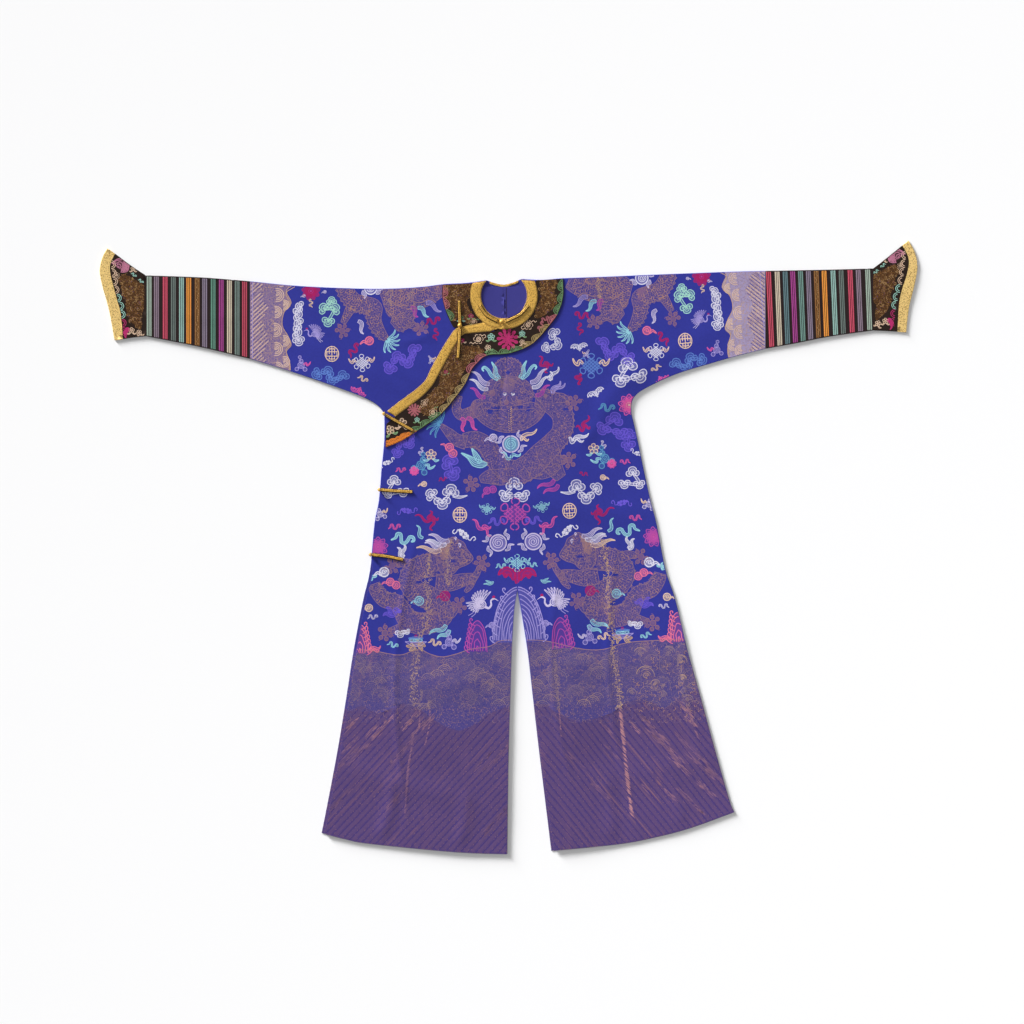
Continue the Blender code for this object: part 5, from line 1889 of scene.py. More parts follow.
class Designs:
    """The robe's drawings, made once and laid on every piece they cross."""

    def __init__(self) -> None:
        """Draws everything."""
        self.front = self._field(())
        self.back = self._field(BACK_ONLY)
        self.facing = self._facing()
        self.cuffs = self._cuffs()
        self.bands = self._bands()
        self.edgings = {node: self._edging(node) for node in EDGED_NODES}
        self.seam = self._seam()

    def _field(self, more: Sequence[Place]) -> Needlework:
        """The silk ground's own ornament."""
        work = Needlework()
        self._water(work)
        both = Hoop(work, pair=True)
        DragonWork(both, 1.25).profile()
        DragonWork(both, 1.7).shoulder()
        DragonWork(Hoop(work), 0.62).chest()
        for place in (*FIELD, *more):
            place.stitch(work)
        for path, width, share, lean, seed in RUBBED:
            WaterWork(work, False).rubbed(path, width, share, lean, seed)
        Hoop(work).fill(circle(7.0, 12, (-28, 529)), T.DARK)
        return work

    def _water(self, work: Needlework) -> None:
        """The hem's and the sleeves' water."""
        plain, both = WaterWork(work, False), WaterWork(work, True)
        top = smooth(WATER_TOP, 5)
        foot = [(760, -860), (-560, -860)]
        plain.hoop.fill(np.vstack([top, foot]), T.SMOKE)
        plain.scales(np.vstack([top - (0, 4), [(600, -385), (27, -395), (-600, -405)]]))
        curls(plain.hoop, np.vstack([top, [(600, -430), (-600, -430)]]), 9.5,
                lambda x, y: dye(T.COPPER, (0.14 * glint(x, y) + 0.6 * sparkle(x, y) ** 3) * (1.6
                if x > 300 else 0.8), T.SMOKE))
        plain.hoop.line(top, 1.8, dye(T.COPPER, 0.6, T.SMOKE))
        for x, y, radius in SWIRLS:
            both.swirl((x, y), radius * 1.9, 0.06 + 0.3 * glint(x, y))
        for x, y, radius, share in RIGHT_SWIRLS:
            for number, part in enumerate((1.0, 0.86, 0.66, 0.48)):
                start = 80 * sparkle(x, number) - 20
                tone = dye(T.GOLD, share * (0.5 + 0.5 * sparkle(y, number)), T.SMOKE)
                plain.hoop.line(arc(radius * part, start, start + 80 + 70 * sparkle(number, y), 9, (x, y)),
                        2.2 if number == 0 else 1.4, tone, Taper.BOTH, lift=0.2)
            plain.hoop.line(spiral(radius * 0.34, 1.5, 0, (x, y)), 1.5, dye(T.GOLD, share * 0.8, T.SMOKE),
                    lift=0.2)
        for outline, lean, worn in zip(STANDING, (LEAN, 180 - LEAN - 4), (0.6, 1.0)):
            form = np.asarray(outline, float)
            plain.hoop.fill(form, T.HEM)
            plain.stripes(form, lean, 13.5, dye(T.INDIGO, 0.75, T.HEM), dye(T.ROSE, 0.1, T.HEM), T.ROSE,
                    T.HEM, (0.12, 0.5), worn)
        for x, y, reach, width, share in GLOWS:
            plain.glow((x, y), reach, width, share, LEAN if x < 0 else 180 - LEAN + 4)
        sleeve = smooth(SLEEVE_WATER, 4, True)
        both.hoop.fill(sleeve, T.HEATHER)
        mirror, faded = seam_mirror(), dye(T.PALE, 0.4, T.HEATHER)
        plain.hoop.fill(sleeve @ mirror[:, :2].T + mirror[:, 2], faded)
        for share in (1.0, 0.93):
            both.hoop.line(sleeve.mean(0) + (sleeve - sleeve.mean(0)) * share, 1.6,
                    dye(T.GOLD, 0.75, T.HEATHER), closed=True)
        curls(both.hoop, sleeve, 7.6, lambda x, y: dye(T.GOLD, 0.1 + 0.4 * glint(x, y) + 0.4 * sparkle(x,
                y) ** 2, T.HEATHER))
        for x, y, radius in SLEEVE_SWIRLS:
            for share in (1.0, 0.72, 0.46):
                both.hoop.line(arc(radius * 2.0 * share, -105, 105, 12, (x, y)), 2.4,
                        dye(T.CREAM, 0.75, T.HEATHER), lift=0.2)
            both.hoop.line(spiral(radius * 0.5, 1.2, 0, (x, y)), 2.0, dye(T.CREAM, 0.85, T.HEATHER),
                    lift=0.2)
        standing = np.asarray(SLEEVE_STANDING, float)
        both.hoop.fill(standing, T.HEATHER)
        plain.hoop.fill(standing @ mirror[:, :2].T + mirror[:, 2], faded)
        both.stripes(standing, LEAN - 5, 7.4, dye(T.MAUVE, 0.8, T.HEATHER), dye(T.CREAM, 0.7, T.HEATHER),
                T.CREAM, T.HEATHER, (0.3, 0.42), 1.0)
        both.hoop.line(SLEEVE_SEAM, 1.8, T.LAVENDER)

    def _facing(self) -> Needlework:
        """The dark collar facings' bronze dragons, drawn as areas of bronze curls, and their lappets and
        flowers.
        """
        work = Needlework(T.DARK)
        hoop = Hoop(work)
        for outline in BRONZE_AREAS:
            self._bronze(hoop, smooth(outline, 4, True))
        for edge, threads in ((FACING_EDGE, LAPPETS), (INNER_FACING_EDGE, INNER_LAPPETS)):
            self._lappets(hoop, smooth(edge, 8), threads)
        for place in FACING_FLOWERS:
            place.stitch(work)
        for row, y in enumerate((0, 7, 14)):
            for step in range(6):
                at = np.array((-290, 239)) + (step * 13 - row * 2, y + step * 5)
                hoop.shape(_turned(((-8, 0), (-4, 6), (2, 7), (8, 2), (5, -2)), 20, 0.9, at), T.ORANGE,
                        (0.5,), 3)
        return work

    def _bronze(self, hoop: Hoop, form: Points) -> None:
        """An area of bronze thread with small uneven curls."""
        chance = np.random.default_rng(3)
        hoop.fill(form, dye(T.BRONZE, 0.45, T.DARK))
        low, high = form.min(0), form.max(0)
        count = int(np.prod(high - low) / 26)
        places = chance.uniform(low, high, (count, 2))
        tones = [dye(T.DARK, 0.85, T.BRONZE), dye(T.GOLD, 0.42, T.BRONZE), dye(T.BRONZE),
                dye(T.GOLD, 0.2, T.BRONZE)]
        for number, place in enumerate(places[signed_distance(places, form) > -1]):
            turn, radius = chance.uniform(0, 360), chance.uniform(1.4, 4.0)
            hoop.line(arc(radius, turn, turn + chance.uniform(90, 220), 5, tuple(place)),
                    chance.uniform(0.8, 1.6), tones[number % 4], fine=number % 2 == 1)

    def _lappets(self, hoop: Hoop, edge: Points, threads: Sequence[Thread]) -> None:
        """Leaf forms along an edge, one colour after another."""
        line = evenly(edge, 5.0)
        inward = -normals(line)
        if signed_distance(line[len(line) // 2:len(line) // 2 + 1] + inward[len(line) // 2] * 12,
                np.vstack([edge, [(-11, 612)]]))[0] < 0:
            inward = -inward
        step = 6
        count = (len(line) - 1) // step
        for number in range(count):
            part = slice(number * step, number * step + step + 1)
            share = np.linspace(0, 1, step + 1)
            foot = line[part] + inward[part] * 2.4
            slant = np.gradient(foot, axis=0) * (0.9 * share * (1 - share))[:, None] * 4
            crest = foot + inward[part] * (11.5 * np.sin(math.pi * share) ** 0.7)[:, None] + slant
            form = np.vstack([foot, crest[::-1][1:-1]])
            hoop.shape(form, threads[number * len(threads) // count], (0.56, 0.2), 3, 1.6)

    def _cuffs(self) -> Needlework:
        """The cuffs' dark satin, the same on both arms."""
        work = Needlework(T.DARK)
        hoop = Hoop(work)
        for side, shift in ((1, 0.0), (-1, 23.0)):
            offset = np.array((0.0, shift))
            flip = np.array((side, 1.0))
            self._bronze(hoop, smooth(np.array(CUFF_BRONZE) * flip + offset, 4, True))
            edge = smooth(np.array(CUFF_EDGE) * flip + offset, 6)
            line = evenly(edge, 7.0)
            for number in range(0, len(line) - 3, 3):
                thread = CUFF_LAPPETS[number * len(CUFF_LAPPETS) // len(line)]
                for radius in (9.5, 5.5):
                    hoop.line(arc(radius, -95, 95, 9, (0, 0)) * (side, 1) + line[number + 1], 1.4, thread)
            for motif, x, y, turn, size in CUFF_FLOWERS:
                motif.stitch(Hoop(work, (x * side, y + shift), turn * side, size, side < 0))
        return work

    @staticmethod
    def _edging(node: str) -> Needlework:
        """The dark lines along a gold edging, and a dark line painted as the shade in the neck binding's
        groove beside its piping.
        """
        work = Needlework(T.BRIGHT_GOLD)
        outline = surface_outline(node) / MM
        outline = outline if _area(outline) > 0 else outline[::-1]
        inset = -outward(outline)[:, :2]
        tone = dye(T.DARK, EDGE_SHARE, T.BRIGHT_GOLD)
        Hoop(work).line(outline + inset * EDGE_DEPTH, 1.2, tone, closed=True, lift=0.3)
        # painted shade in the groove beside the neck binding's piping
        Hoop(work).line(smooth(PIPING_GROOVE_SHADE, 4), 2.0, tone, Taper.BOTH, lift=0.4)
        return work

    @staticmethod
    def _seam() -> Needlework:
        """The sewn seam down the lining that shows in the neck."""
        work = Needlework(T.LINING)
        for x, width, share in SEAM_LINES:
            Hoop(work).line(((x, 645.0), (x, 540.0)), width, dye(T.DARK, share, T.LINING), lift=0.04)
        return work

    def _bands(self) -> Needlework:
        """The striped bands' laid stripes, each of three cords, with a painted highlight along each cord
        and painted shade in the gaps between them.
        """
        work = Needlework(T.BROWN)
        hoop = Hoop(work)
        for rows, top, foot in BAND_STRIPES:
            for centre, low, thread in rows:
                dyed = linear(thread)

                def cord(off: float, spread: float, width: float, share: float, more: float,
                        lift: float) -> None:
                    """Lays one cord, the painted highlight along its middle or the painted shade of a gap
                    beside it, in this stripe's dye made weaker or stronger.
                    """
                    line = evenly(np.array([(centre + off - spread, top), (low + off + spread, foot)]), 8.0)
                    hoop.line(line, width, (*(min(1.0, share * c + more) for c in dyed), 0.0), lift=lift)

                for off, depth in CORDS:
                    cord(off, 0.0, 3.8, depth, 0.0, 0.22)
                    # a lighter line along the cord's middle: painted highlight
                    cord(off, 0.0, 2.1, 1.28, 0.015, 0.34)
                # dark lines in the gaps between the cords: painted shade
                for off in SHADED_CORD_GAPS:
                    cord(off, 0.5, 1.5, 0.14, 0.0, 0.4)
                if thread == METAL_STRIPE:
                    line = np.array([(centre, top), (low, foot)])
                    for number, (x, y) in enumerate(evenly(line, 5.0)):
                        x += 7 * sparkle(number, x) - 3.5
                        hoop.line(((x, y + 2), (x + 1, y - 2)), 1.3, dye(T.GOLD, 0.75, T.BROWN), lift=0.45)
        return work


BRONZE_AREAS = (
    ((-152, 647), (-91, 647), (-93, 621), (-101, 594), (-88, 567), (-76, 550), (-98, 543), (-118, 557),
    (-137, 550), (-139, 577), (-152, 601)), ((77, 650), (118, 647), (111, 621), (118, 594), (104, 577),
    (84, 562), (67, 557), (67, 582), (79, 608)), ((-122, 497), (-103, 489), (-74, 487), (-59, 475),
    (-84, 460), (-101, 441), (-113, 417), (-127, 387), (-149, 361), (-171, 341), (-195, 319), (-217, 339),
    (-191, 373), (-171, 392), (-164, 426), (-149, 455), (-142, 480))
)
FACING_EDGE = (
    (133, 652), (133, 606), (119, 565), (99, 538), (71, 505), (43, 485), (-1, 470), (-50, 466), (-74, 449),
    (-90, 429), (-105, 396), (-135, 356), (-163, 324), (-195, 300), (-227, 279), (-261, 259), (-299, 243)
)
INNER_FACING_EDGE = ((-160, 638), (-161, 608), (-154, 579), (-143, 553), (-135, 536))
LAPPETS = (
    T.MOSS, T.MOSS, T.DUSK, T.SAND, T.SAND, T.MOSS, T.MOSS, T.DUSK, T.DUSK, T.SAND, T.SAND, T.SAND, T.MOSS,
    T.MOSS, T.ORANGE, T.ORANGE
)
INNER_LAPPETS = (T.DUSK, T.DUSK, T.MOSS)
FACING_FLOWERS = (
    Lone(Peony(T.ROUGE, T.MAGENTA), -2, 506), Lone(Sprig(T.MINT, T.GREEN), -42, 511, 0, 0.7),
    Lone(Sprig(T.MINT, T.GREEN), 33, 519, 0, 0.6), Lone(Scroll(T.CREAM, T.CREAM), 48, 540, 0, 0.85),
    Lone(Scroll(T.CREAM, T.CREAM), -73, 506, 180, 0.9), Lone(Ribbon(T.DUSK), 79, 538, 60, 0.6),
    Lone(Ribbon(T.DUSK), 89, 555, 20, 0.5), Lone(Scroll(T.CREAM, T.GREEN), -84, 548, 0, 0.55),
    Lone(Sprig(T.GREEN, T.MINT), -115, 557, 0, 0.55), Lone(Sprig(T.CRIMSON, T.GREEN), -91, 562, 0, 0.5),
    Lone(Sprig(T.CREAM, T.GREEN), -50, 485, 20, 0.6), Lone(Sprig(T.CREAM, T.CREAM), 33, 499, 20, 0.5),
    Lone(Sprig(T.CRIMSON, T.CREAM), -113, 502, 20, 0.5),
    Lone(Scroll(T.CREAM, T.GREEN), -183, 327, 30, 0.75),
    Lone(Scroll(T.CREAM, T.CREAM), -205, 351, 200, 0.6), Lone(Peony(T.DUSK, T.PINK), -229, 334, 0, 0.6),
    Lone(Sprig(T.MINT, T.GREEN), -222, 310, 0, 0.5), Lone(Sprig(T.CREAM, T.CREAM), -259, 302, 0, 0.95),
    Lone(Sprig(T.CREAM, T.GREEN), -288, 285, 20, 0.9), Lone(Sprig(T.CRIMSON, T.GREEN), -152, 426, 20, 0.4)
)
CUFF_BRONZE = (
    (-936, 664), (-920, 657), (-903, 647), (-887, 636), (-885, 606), (-887, 575), (-894, 565), (-891, 547),
    (-894, 529), (-907, 539), (-918, 549), (-928, 570), (-930, 595), (-938, 616), (-941, 636), (-950, 649)
)
CUFF_EDGE = ((-965, 694), (-964, 679), (-960, 650), (-954, 618), (-945, 589), (-940, 560), (-937, 528),
        (-936, 511))
CUFF_LAPPETS = (T.CREAM, T.CREAM, T.CREAM, T.MINT, T.MINT, T.MINT, T.ROUGE, T.ROUGE)
CUFF_FLOWERS = (
    (Mountain(T.ROSY, width=34, height=26, rows=4, crests=(1,)), -950, 679, -35, 1.0),
    (Sprig(T.ROSY, T.ROSY), -932, 684, 0, 0.55), (Scroll(T.CREAM, T.CREAM), -951, 662, 90, 0.45),
    (Curl(T.ROSY, count=1), -930, 675, 0, 0.7), (Sprig(T.CREAM, T.CREAM), -912, 677, 0, 0.5),
    (Ribbon(T.MINT), -910, 662, -40, 0.35), (Ribbon(T.MINT), -893, 647, -40, 0.35),
    (Sprig(T.CREAM, T.CREAM), -916, 527, 0, 0.6), (Sprig(T.CREAM, T.CREAM), -898, 521, 20, 0.6),
    (Curl(T.ROUGE, radius=5), -930, 526, 80, 1.0)
)
EDGED_NODES = ("overlap_edging_top", "overlap_edging_side", "neck_binding_inner", "neck_binding_outer")
EDGE_DEPTH = 1.1  # the dark line along a gold edging runs this far inside its edge
EDGE_SHARE = 0.7
# where the painted shade of the neck binding's groove runs
PIPING_GROOVE_SHADE = (
    (-72, 587), (-62, 575), (-47, 562), (-30, 554), (-17, 550), (-2, 551), (16, 556), (33, 566), (44, 577),
    (49, 588)
)
SEAM_LINES = ((-5.2, 2.4, 0.65), (-13.4, 1.2, 0.2))
CORDS = ((-4.1, 0.55), (0.0, 0.45), (4.1, 0.6))  # each cord's place in a stripe and its depth of colour, darker than the painted highlight laid along it
# where the painted shade between a stripe's cords runs
SHADED_CORD_GAPS = (-2.05, 2.05)
METAL_STRIPE = "#8A5C2C"
RIGHT_STRIPES = (
    (-873.1, -873.1, "#A0B0A2"), (-855.4, -855.4, "#8A7686"), (-834.2, -834.2, "#C64A62"),
    (-814.3, -814.3, "#66736E"), (-794.6, -794.6, "#92B6AE"), (-776.9, -776.9, "#EA943A"),
    (-756.5, -756.5, METAL_STRIPE), (-738.2, -738.2, "#86788C"), (-717.6, -717.6, "#5E8C7A"),
    (-697.9, -697.9, "#A03E88"), (-678.2, -678.2, "#D2C2AC"), (-659.3, -659.3, "#70807A"),
    (-641.3, -641.3, "#BA465C")
)
LEFT_STRIPES = (
    (631.1, 640.3, "#C64A62"), (652.2, 660.1, "#D2C2AC"), (671.5, 679.3, "#5E7A80"),
    (689.9, 698.3, "#A03E88"), (708.9, 717.2, "#6E9188"), (728.1, 735.7, "#86788C"),
    (747.1, 755.0, METAL_STRIPE), (766.3, 774.2, "#EA943A"), (787.9, 796.7, "#92B6AE"),
    (807.7, 815.6, "#66736E"), (829.5, 837.2, "#C64A62"), (849.3, 857.8, "#8A7686"),
    (872.3, 879.7, "#A0B0A2")
)
BAND_STRIPES = ((RIGHT_STRIPES, 682.0, 440.0), (LEFT_STRIPES, 680.0, 478.0))


# ---- Finishes ----
class Slot(Enum):
    """The record's material slots."""

    SILK = "silk"
    LINING = "lining"
    STRIPES = "striped_silk"
    SATIN = "dark_satin"
    GOLD = "gold_cloth"
    GILT = "gilt"


@dataclass(frozen=True)
class Finish:
    """How a cloth or metal looks over its dyes."""

    name: str
    roughness: float
    sheen: float = 0.0
    metallic: float = 0.0
    weave: float = 900.0  # threads to the metre
    relief: float = 0.25
    drift: float = 0.10
    speck: str = "#C58E5B"
    speck_scale: float = 330.0
    speck_share: float = 0.27  # how much of a metal area the bare specks take
    speck_depth: float = 0.5
    shade: str = "#2E2A80"  # what shows between the metal threads
    grain: float = 0.7
    specks_all_over: bool = False
    wear: float = 0.0


SILK = Finish("robe_silk", 0.6, sheen=0.05, weave=1100, relief=0.22, drift=0.12, wear=0.5)
THREAD = Finish("embroidery_silk", 0.48, sheen=0.04, weave=1700, relief=0.30, drift=0.14)
LINING = Finish("lining_silk", 0.7, sheen=0.05, weave=1300, relief=0.15, drift=0.06)
STRIPES = Finish("striped_silk", 0.6, sheen=0.04, weave=1200, relief=0.25, drift=0.16)
SATIN = Finish("dark_satin", 0.5, sheen=0.03, weave=1200, relief=0.18, drift=0.2, speck="#94622A",
        speck_scale=360, speck_share=0.3, shade="#2A190C", grain=0.8)
GOLD_CLOTH = Finish("gold_brocade", 0.46, sheen=0.03, metallic=0.12, weave=700, relief=0.45, drift=0.12,
        speck="#74501E", speck_scale=420, speck_share=0.4, speck_depth=0.72, specks_all_over=True)
GILT = Finish("gilt_brass", 0.32, metallic=0.35, weave=300, relief=0.04, drift=0.08)


WARP_AND_WEFT = (("X", 0.16, 0.6), ("Y", 0.2, 0.8))  # direction, scale and unevenness
SLUB_SCALE, SLUB = 0.12, 0.5  # thicker threads: their spread and their height
DRIFT_NOISES = ((4.0, 3.0), (210.0, 2.0))  # the slow and the quick one: scale and detail
SPECK_TOP, SPECK_SPREAD = 0.72, 0.45  # the noise over which metal shows, less its share
GAP_TOP = 0.44  # the noise under which the gaps are dark
STREAKS = (26.0, 5.0, 1.0)  # worn streaks to the metre, across and along
WORN_SHARE, WORN_COLOUR = 0.6, "#B97F70"
SHEEN_ROUGHNESS = 0.4
THREAD_HEIGHT = 0.0003
SILK_SPECULAR = 0.18


class Graph:
    """A node tree with short ways to add nodes and join them."""

    def __init__(self, tree: bpy.types.NodeTree) -> None:
        """Takes the tree."""
        self.tree = tree

    def node(self, kind: str, inputs: dict | None = None, **settings: object) -> bpy.types.Node:
        """Adds a node.

        Args:
            kind: Its type.
            inputs: Socket names or numbers with a value or another socket.
            settings: Its own properties.

        Returns:
            The node.
        """
        made = self.tree.nodes.new(kind)
        for key, value in settings.items():
            setattr(made, key, value)
        for key, value in (inputs or {}).items():
            if isinstance(value, bpy.types.NodeSocket):
                self.tree.links.new(value, made.inputs[key])
            else:
                made.inputs[key].default_value = value
        return made

    def maths(self, operation: str, first: object, second: object = 0.0) -> bpy.types.NodeSocket:
        """The result of a sum of two values."""
        return self.node("ShaderNodeMath", {0: first, 1: second}, operation=operation).outputs[0]

    def mix(self, share: object, first: object, second: object, kind: str = "MIX") -> bpy.types.NodeSocket:
        """Two colours mixed."""
        made = self.node("ShaderNodeMix", {0: share, 6: first, 7: second}, data_type="RGBA",
                blend_type=kind)
        return made.outputs[2]

    def noise(self, place: object, scale: object, detail: float) -> bpy.types.NodeSocket:
        """Soft noise from 0 to 1."""
        given = {"Vector": place, "Scale": scale, "Detail": detail}
        return self.node("ShaderNodeTexNoise", given).outputs["Fac"]

    def scaled(self, place: object, by: object) -> bpy.types.NodeSocket:
        """A vector made larger by a number."""
        return self.node("ShaderNodeVectorMath", {0: place, 3: by}, operation="SCALE").outputs[0]

    def ramp(self, value: object, low: float, high: float) -> bpy.types.NodeSocket:
        """A value spread from 0 at low to 1 at high."""
        made = self.node("ShaderNodeMapRange", {0: value, 1: low, 2: high, 3: 0.0, 4: 1.0},
                interpolation_type="SMOOTHSTEP")
        return made.outputs[0]


def make_group(name: str, inputs: Sequence[str], outputs: Sequence[str],
        fill: Callable[[Graph, dict], dict]) -> bpy.types.NodeTree:
    """A shader node group.

    Args:
        name: Its name.
        inputs: Its value inputs, after the vector.
        outputs: Its value outputs.
        fill: Builds the inside from the inputs' sockets and gives the outputs'.

    Returns:
        The group.
    """
    tree = bpy.data.node_groups.new(name, "ShaderNodeTree")
    tree.interface.new_socket("Place", in_out="INPUT", socket_type="NodeSocketVector")
    for one in inputs:
        tree.interface.new_socket(one, in_out="INPUT", socket_type="NodeSocketFloat")
    for one in outputs:
        tree.interface.new_socket(one, in_out="OUTPUT", socket_type="NodeSocketFloat")
    graph = Graph(tree)
    entry, leave = graph.node("NodeGroupInput"), graph.node("NodeGroupOutput")
    for key, socket in fill(graph, {socket.name: socket for socket in entry.outputs}).items():
        tree.links.new(socket, leave.inputs[key])
    return tree


def _weave(graph: Graph, given: dict) -> dict:
    """Warp and weft threads with a few thicker ones."""
    place = graph.scaled(given["Place"], given["Threads"])
    threads = [graph.node("ShaderNodeTexWave", {"Vector": place, "Scale": scale, "Distortion": bend,
            "Detail": 1.0}, bands_direction=way).outputs["Fac"] for way, scale, bend in WARP_AND_WEFT]
    slub = graph.maths("MULTIPLY", graph.noise(place, SLUB_SCALE, 2.0), SLUB)
    return {"Height": graph.maths("ADD", graph.maths("MULTIPLY", *threads), slub)}


def _drift(graph: Graph, given: dict) -> dict:
    """Slow and quick changes of a dye's strength, about one."""
    slow, quick = (graph.noise(given["Place"], scale, detail) for scale, detail in DRIFT_NOISES)
    total = graph.maths("ADD", slow, quick)
    spread = graph.maths("MULTIPLY", graph.maths("SUBTRACT", total, 1.0), given["Amount"])
    return {"Strength": graph.maths("ADD", graph.maths("MULTIPLY", spread, 2.0), 1.0)}


def _specks(graph: Graph, given: dict) -> dict:
    """Bare metal threads that glint between the silk, and the dark gaps among them."""
    noise = graph.noise(given["Place"], given["Scale"], 1.0)
    threshold = graph.maths("SUBTRACT", SPECK_TOP, graph.maths("MULTIPLY", given["Share"], SPECK_SPREAD))
    over = graph.maths("SUBTRACT", noise, threshold)
    under = graph.maths("SUBTRACT", GAP_TOP, noise)
    return {"Mask": graph.ramp(over, 0.0, 0.07), "Shade": graph.ramp(under, 0.0, 0.08)}


def _wear(graph: Graph, given: dict) -> dict:
    """Rubbed streaks that run up and down the cloth."""
    place = graph.node("ShaderNodeVectorMath", {0: given["Place"], 1: STREAKS}, operation="MULTIPLY")
    return {"Mask": graph.ramp(graph.noise(place.outputs[0], 1.0, 4.0), 0.56, 0.74)}


class Dyer:
    """Makes the materials from finishes, with shared node groups."""

    def __init__(self) -> None:
        """Builds the groups."""
        self.weave = make_group("weave", ("Threads",), ("Height",), _weave)
        self.drift = make_group("drift", ("Amount",), ("Strength",), _drift)
        self.specks = make_group("specks", ("Scale", "Share"), ("Mask", "Shade"), _specks)
        self.wear = make_group("wear", (), ("Mask",), _wear)
        self.made: dict[str, bpy.types.Material] = {}

    def material(self, finish: Finish) -> bpy.types.Material:
        """The material of a finish, made once."""
        if finish.name not in self.made:
            self.made[finish.name] = self._make(finish)
        return self.made[finish.name]

    def _make(self, finish: Finish) -> bpy.types.Material:
        """Builds a finish's nodes."""
        material = bpy.data.materials.new(finish.name)
        material.use_nodes = True
        material.node_tree.nodes.clear()
        graph = Graph(material.node_tree)
        place = graph.node("ShaderNodeTexCoord").outputs["Object"]
        dyed = graph.node("ShaderNodeAttribute", attribute_name="dye")

        def group(tree: bpy.types.NodeTree, **values: float) -> bpy.types.bpy_prop_collection:
            """The outputs of a shared group that is given these values."""
            return graph.node("ShaderNodeGroup", {"Place": place, **values}, node_tree=tree).outputs

        colour = dyed.outputs["Color"]
        specks, shade = group(self.specks, Scale=finish.speck_scale, Share=finish.speck_share)
        if not finish.specks_all_over:
            specks = graph.maths("MULTIPLY", specks, dyed.outputs["Alpha"])
        shade = graph.maths("MULTIPLY", graph.maths("MULTIPLY", shade, dyed.outputs["Alpha"]), finish.grain)
        colour = graph.mix(shade, colour, (*linear(finish.shade), 1.0))
        bare = (*linear(finish.speck), 1.0)
        colour = graph.mix(graph.maths("MULTIPLY", specks, finish.speck_depth), colour, bare)
        if finish.wear:
            rubbed = graph.maths("MULTIPLY", group(self.wear)[0], dyed.outputs["Alpha"])
            colour = graph.mix(graph.maths("MULTIPLY", rubbed, finish.wear * WORN_SHARE), colour,
                    (*linear(WORN_COLOUR), 1.0))
        strength = group(self.drift, Amount=finish.drift)[0]
        colour = graph.scaled(colour, strength)
        height = group(self.weave, Threads=finish.weave)[0]
        bump = graph.node("ShaderNodeBump", {"Strength": finish.relief, "Distance": THREAD_HEIGHT,
                "Height": height})
        shader = graph.node("ShaderNodeBsdfPrincipled", {"Base Color": colour,
                "Roughness": finish.roughness, "Sheen Weight": finish.sheen,
                "Sheen Roughness": SHEEN_ROUGHNESS, "Normal": bump.outputs[0], "Metallic": finish.metallic,
                "Specular IOR Level": SILK_SPECULAR})
        output = graph.node("ShaderNodeOutputMaterial")
        graph.tree.links.new(shader.outputs[0], output.inputs[0])
        return material


# ---- Pieces ----
@dataclass(frozen=True)
class Cloth:
    """What a piece is made of."""

    slot: Slot
    finish: Finish
    face: Thread


ROBE = Cloth(Slot.SILK, SILK, T.GROUND)
BANDED = Cloth(Slot.STRIPES, STRIPES, T.BROWN)
FACED = Cloth(Slot.SATIN, SATIN, T.DARK)
EDGED = Cloth(Slot.GOLD, GOLD_CLOTH, T.BRIGHT_GOLD)
CUFF_EDGED = Cloth(Slot.GOLD, GOLD_CLOTH, T.PALE_GOLD)
LINED = Cloth(Slot.LINING, LINING, T.LINING)
PLAIN = Needlework()  # for a piece without ornament


def declare(piece: bpy.types.Object, node: str, slot: Slot) -> None:
    """Joins a piece to the frame in place of its CAD node."""
    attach(piece, "root")
    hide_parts(node)


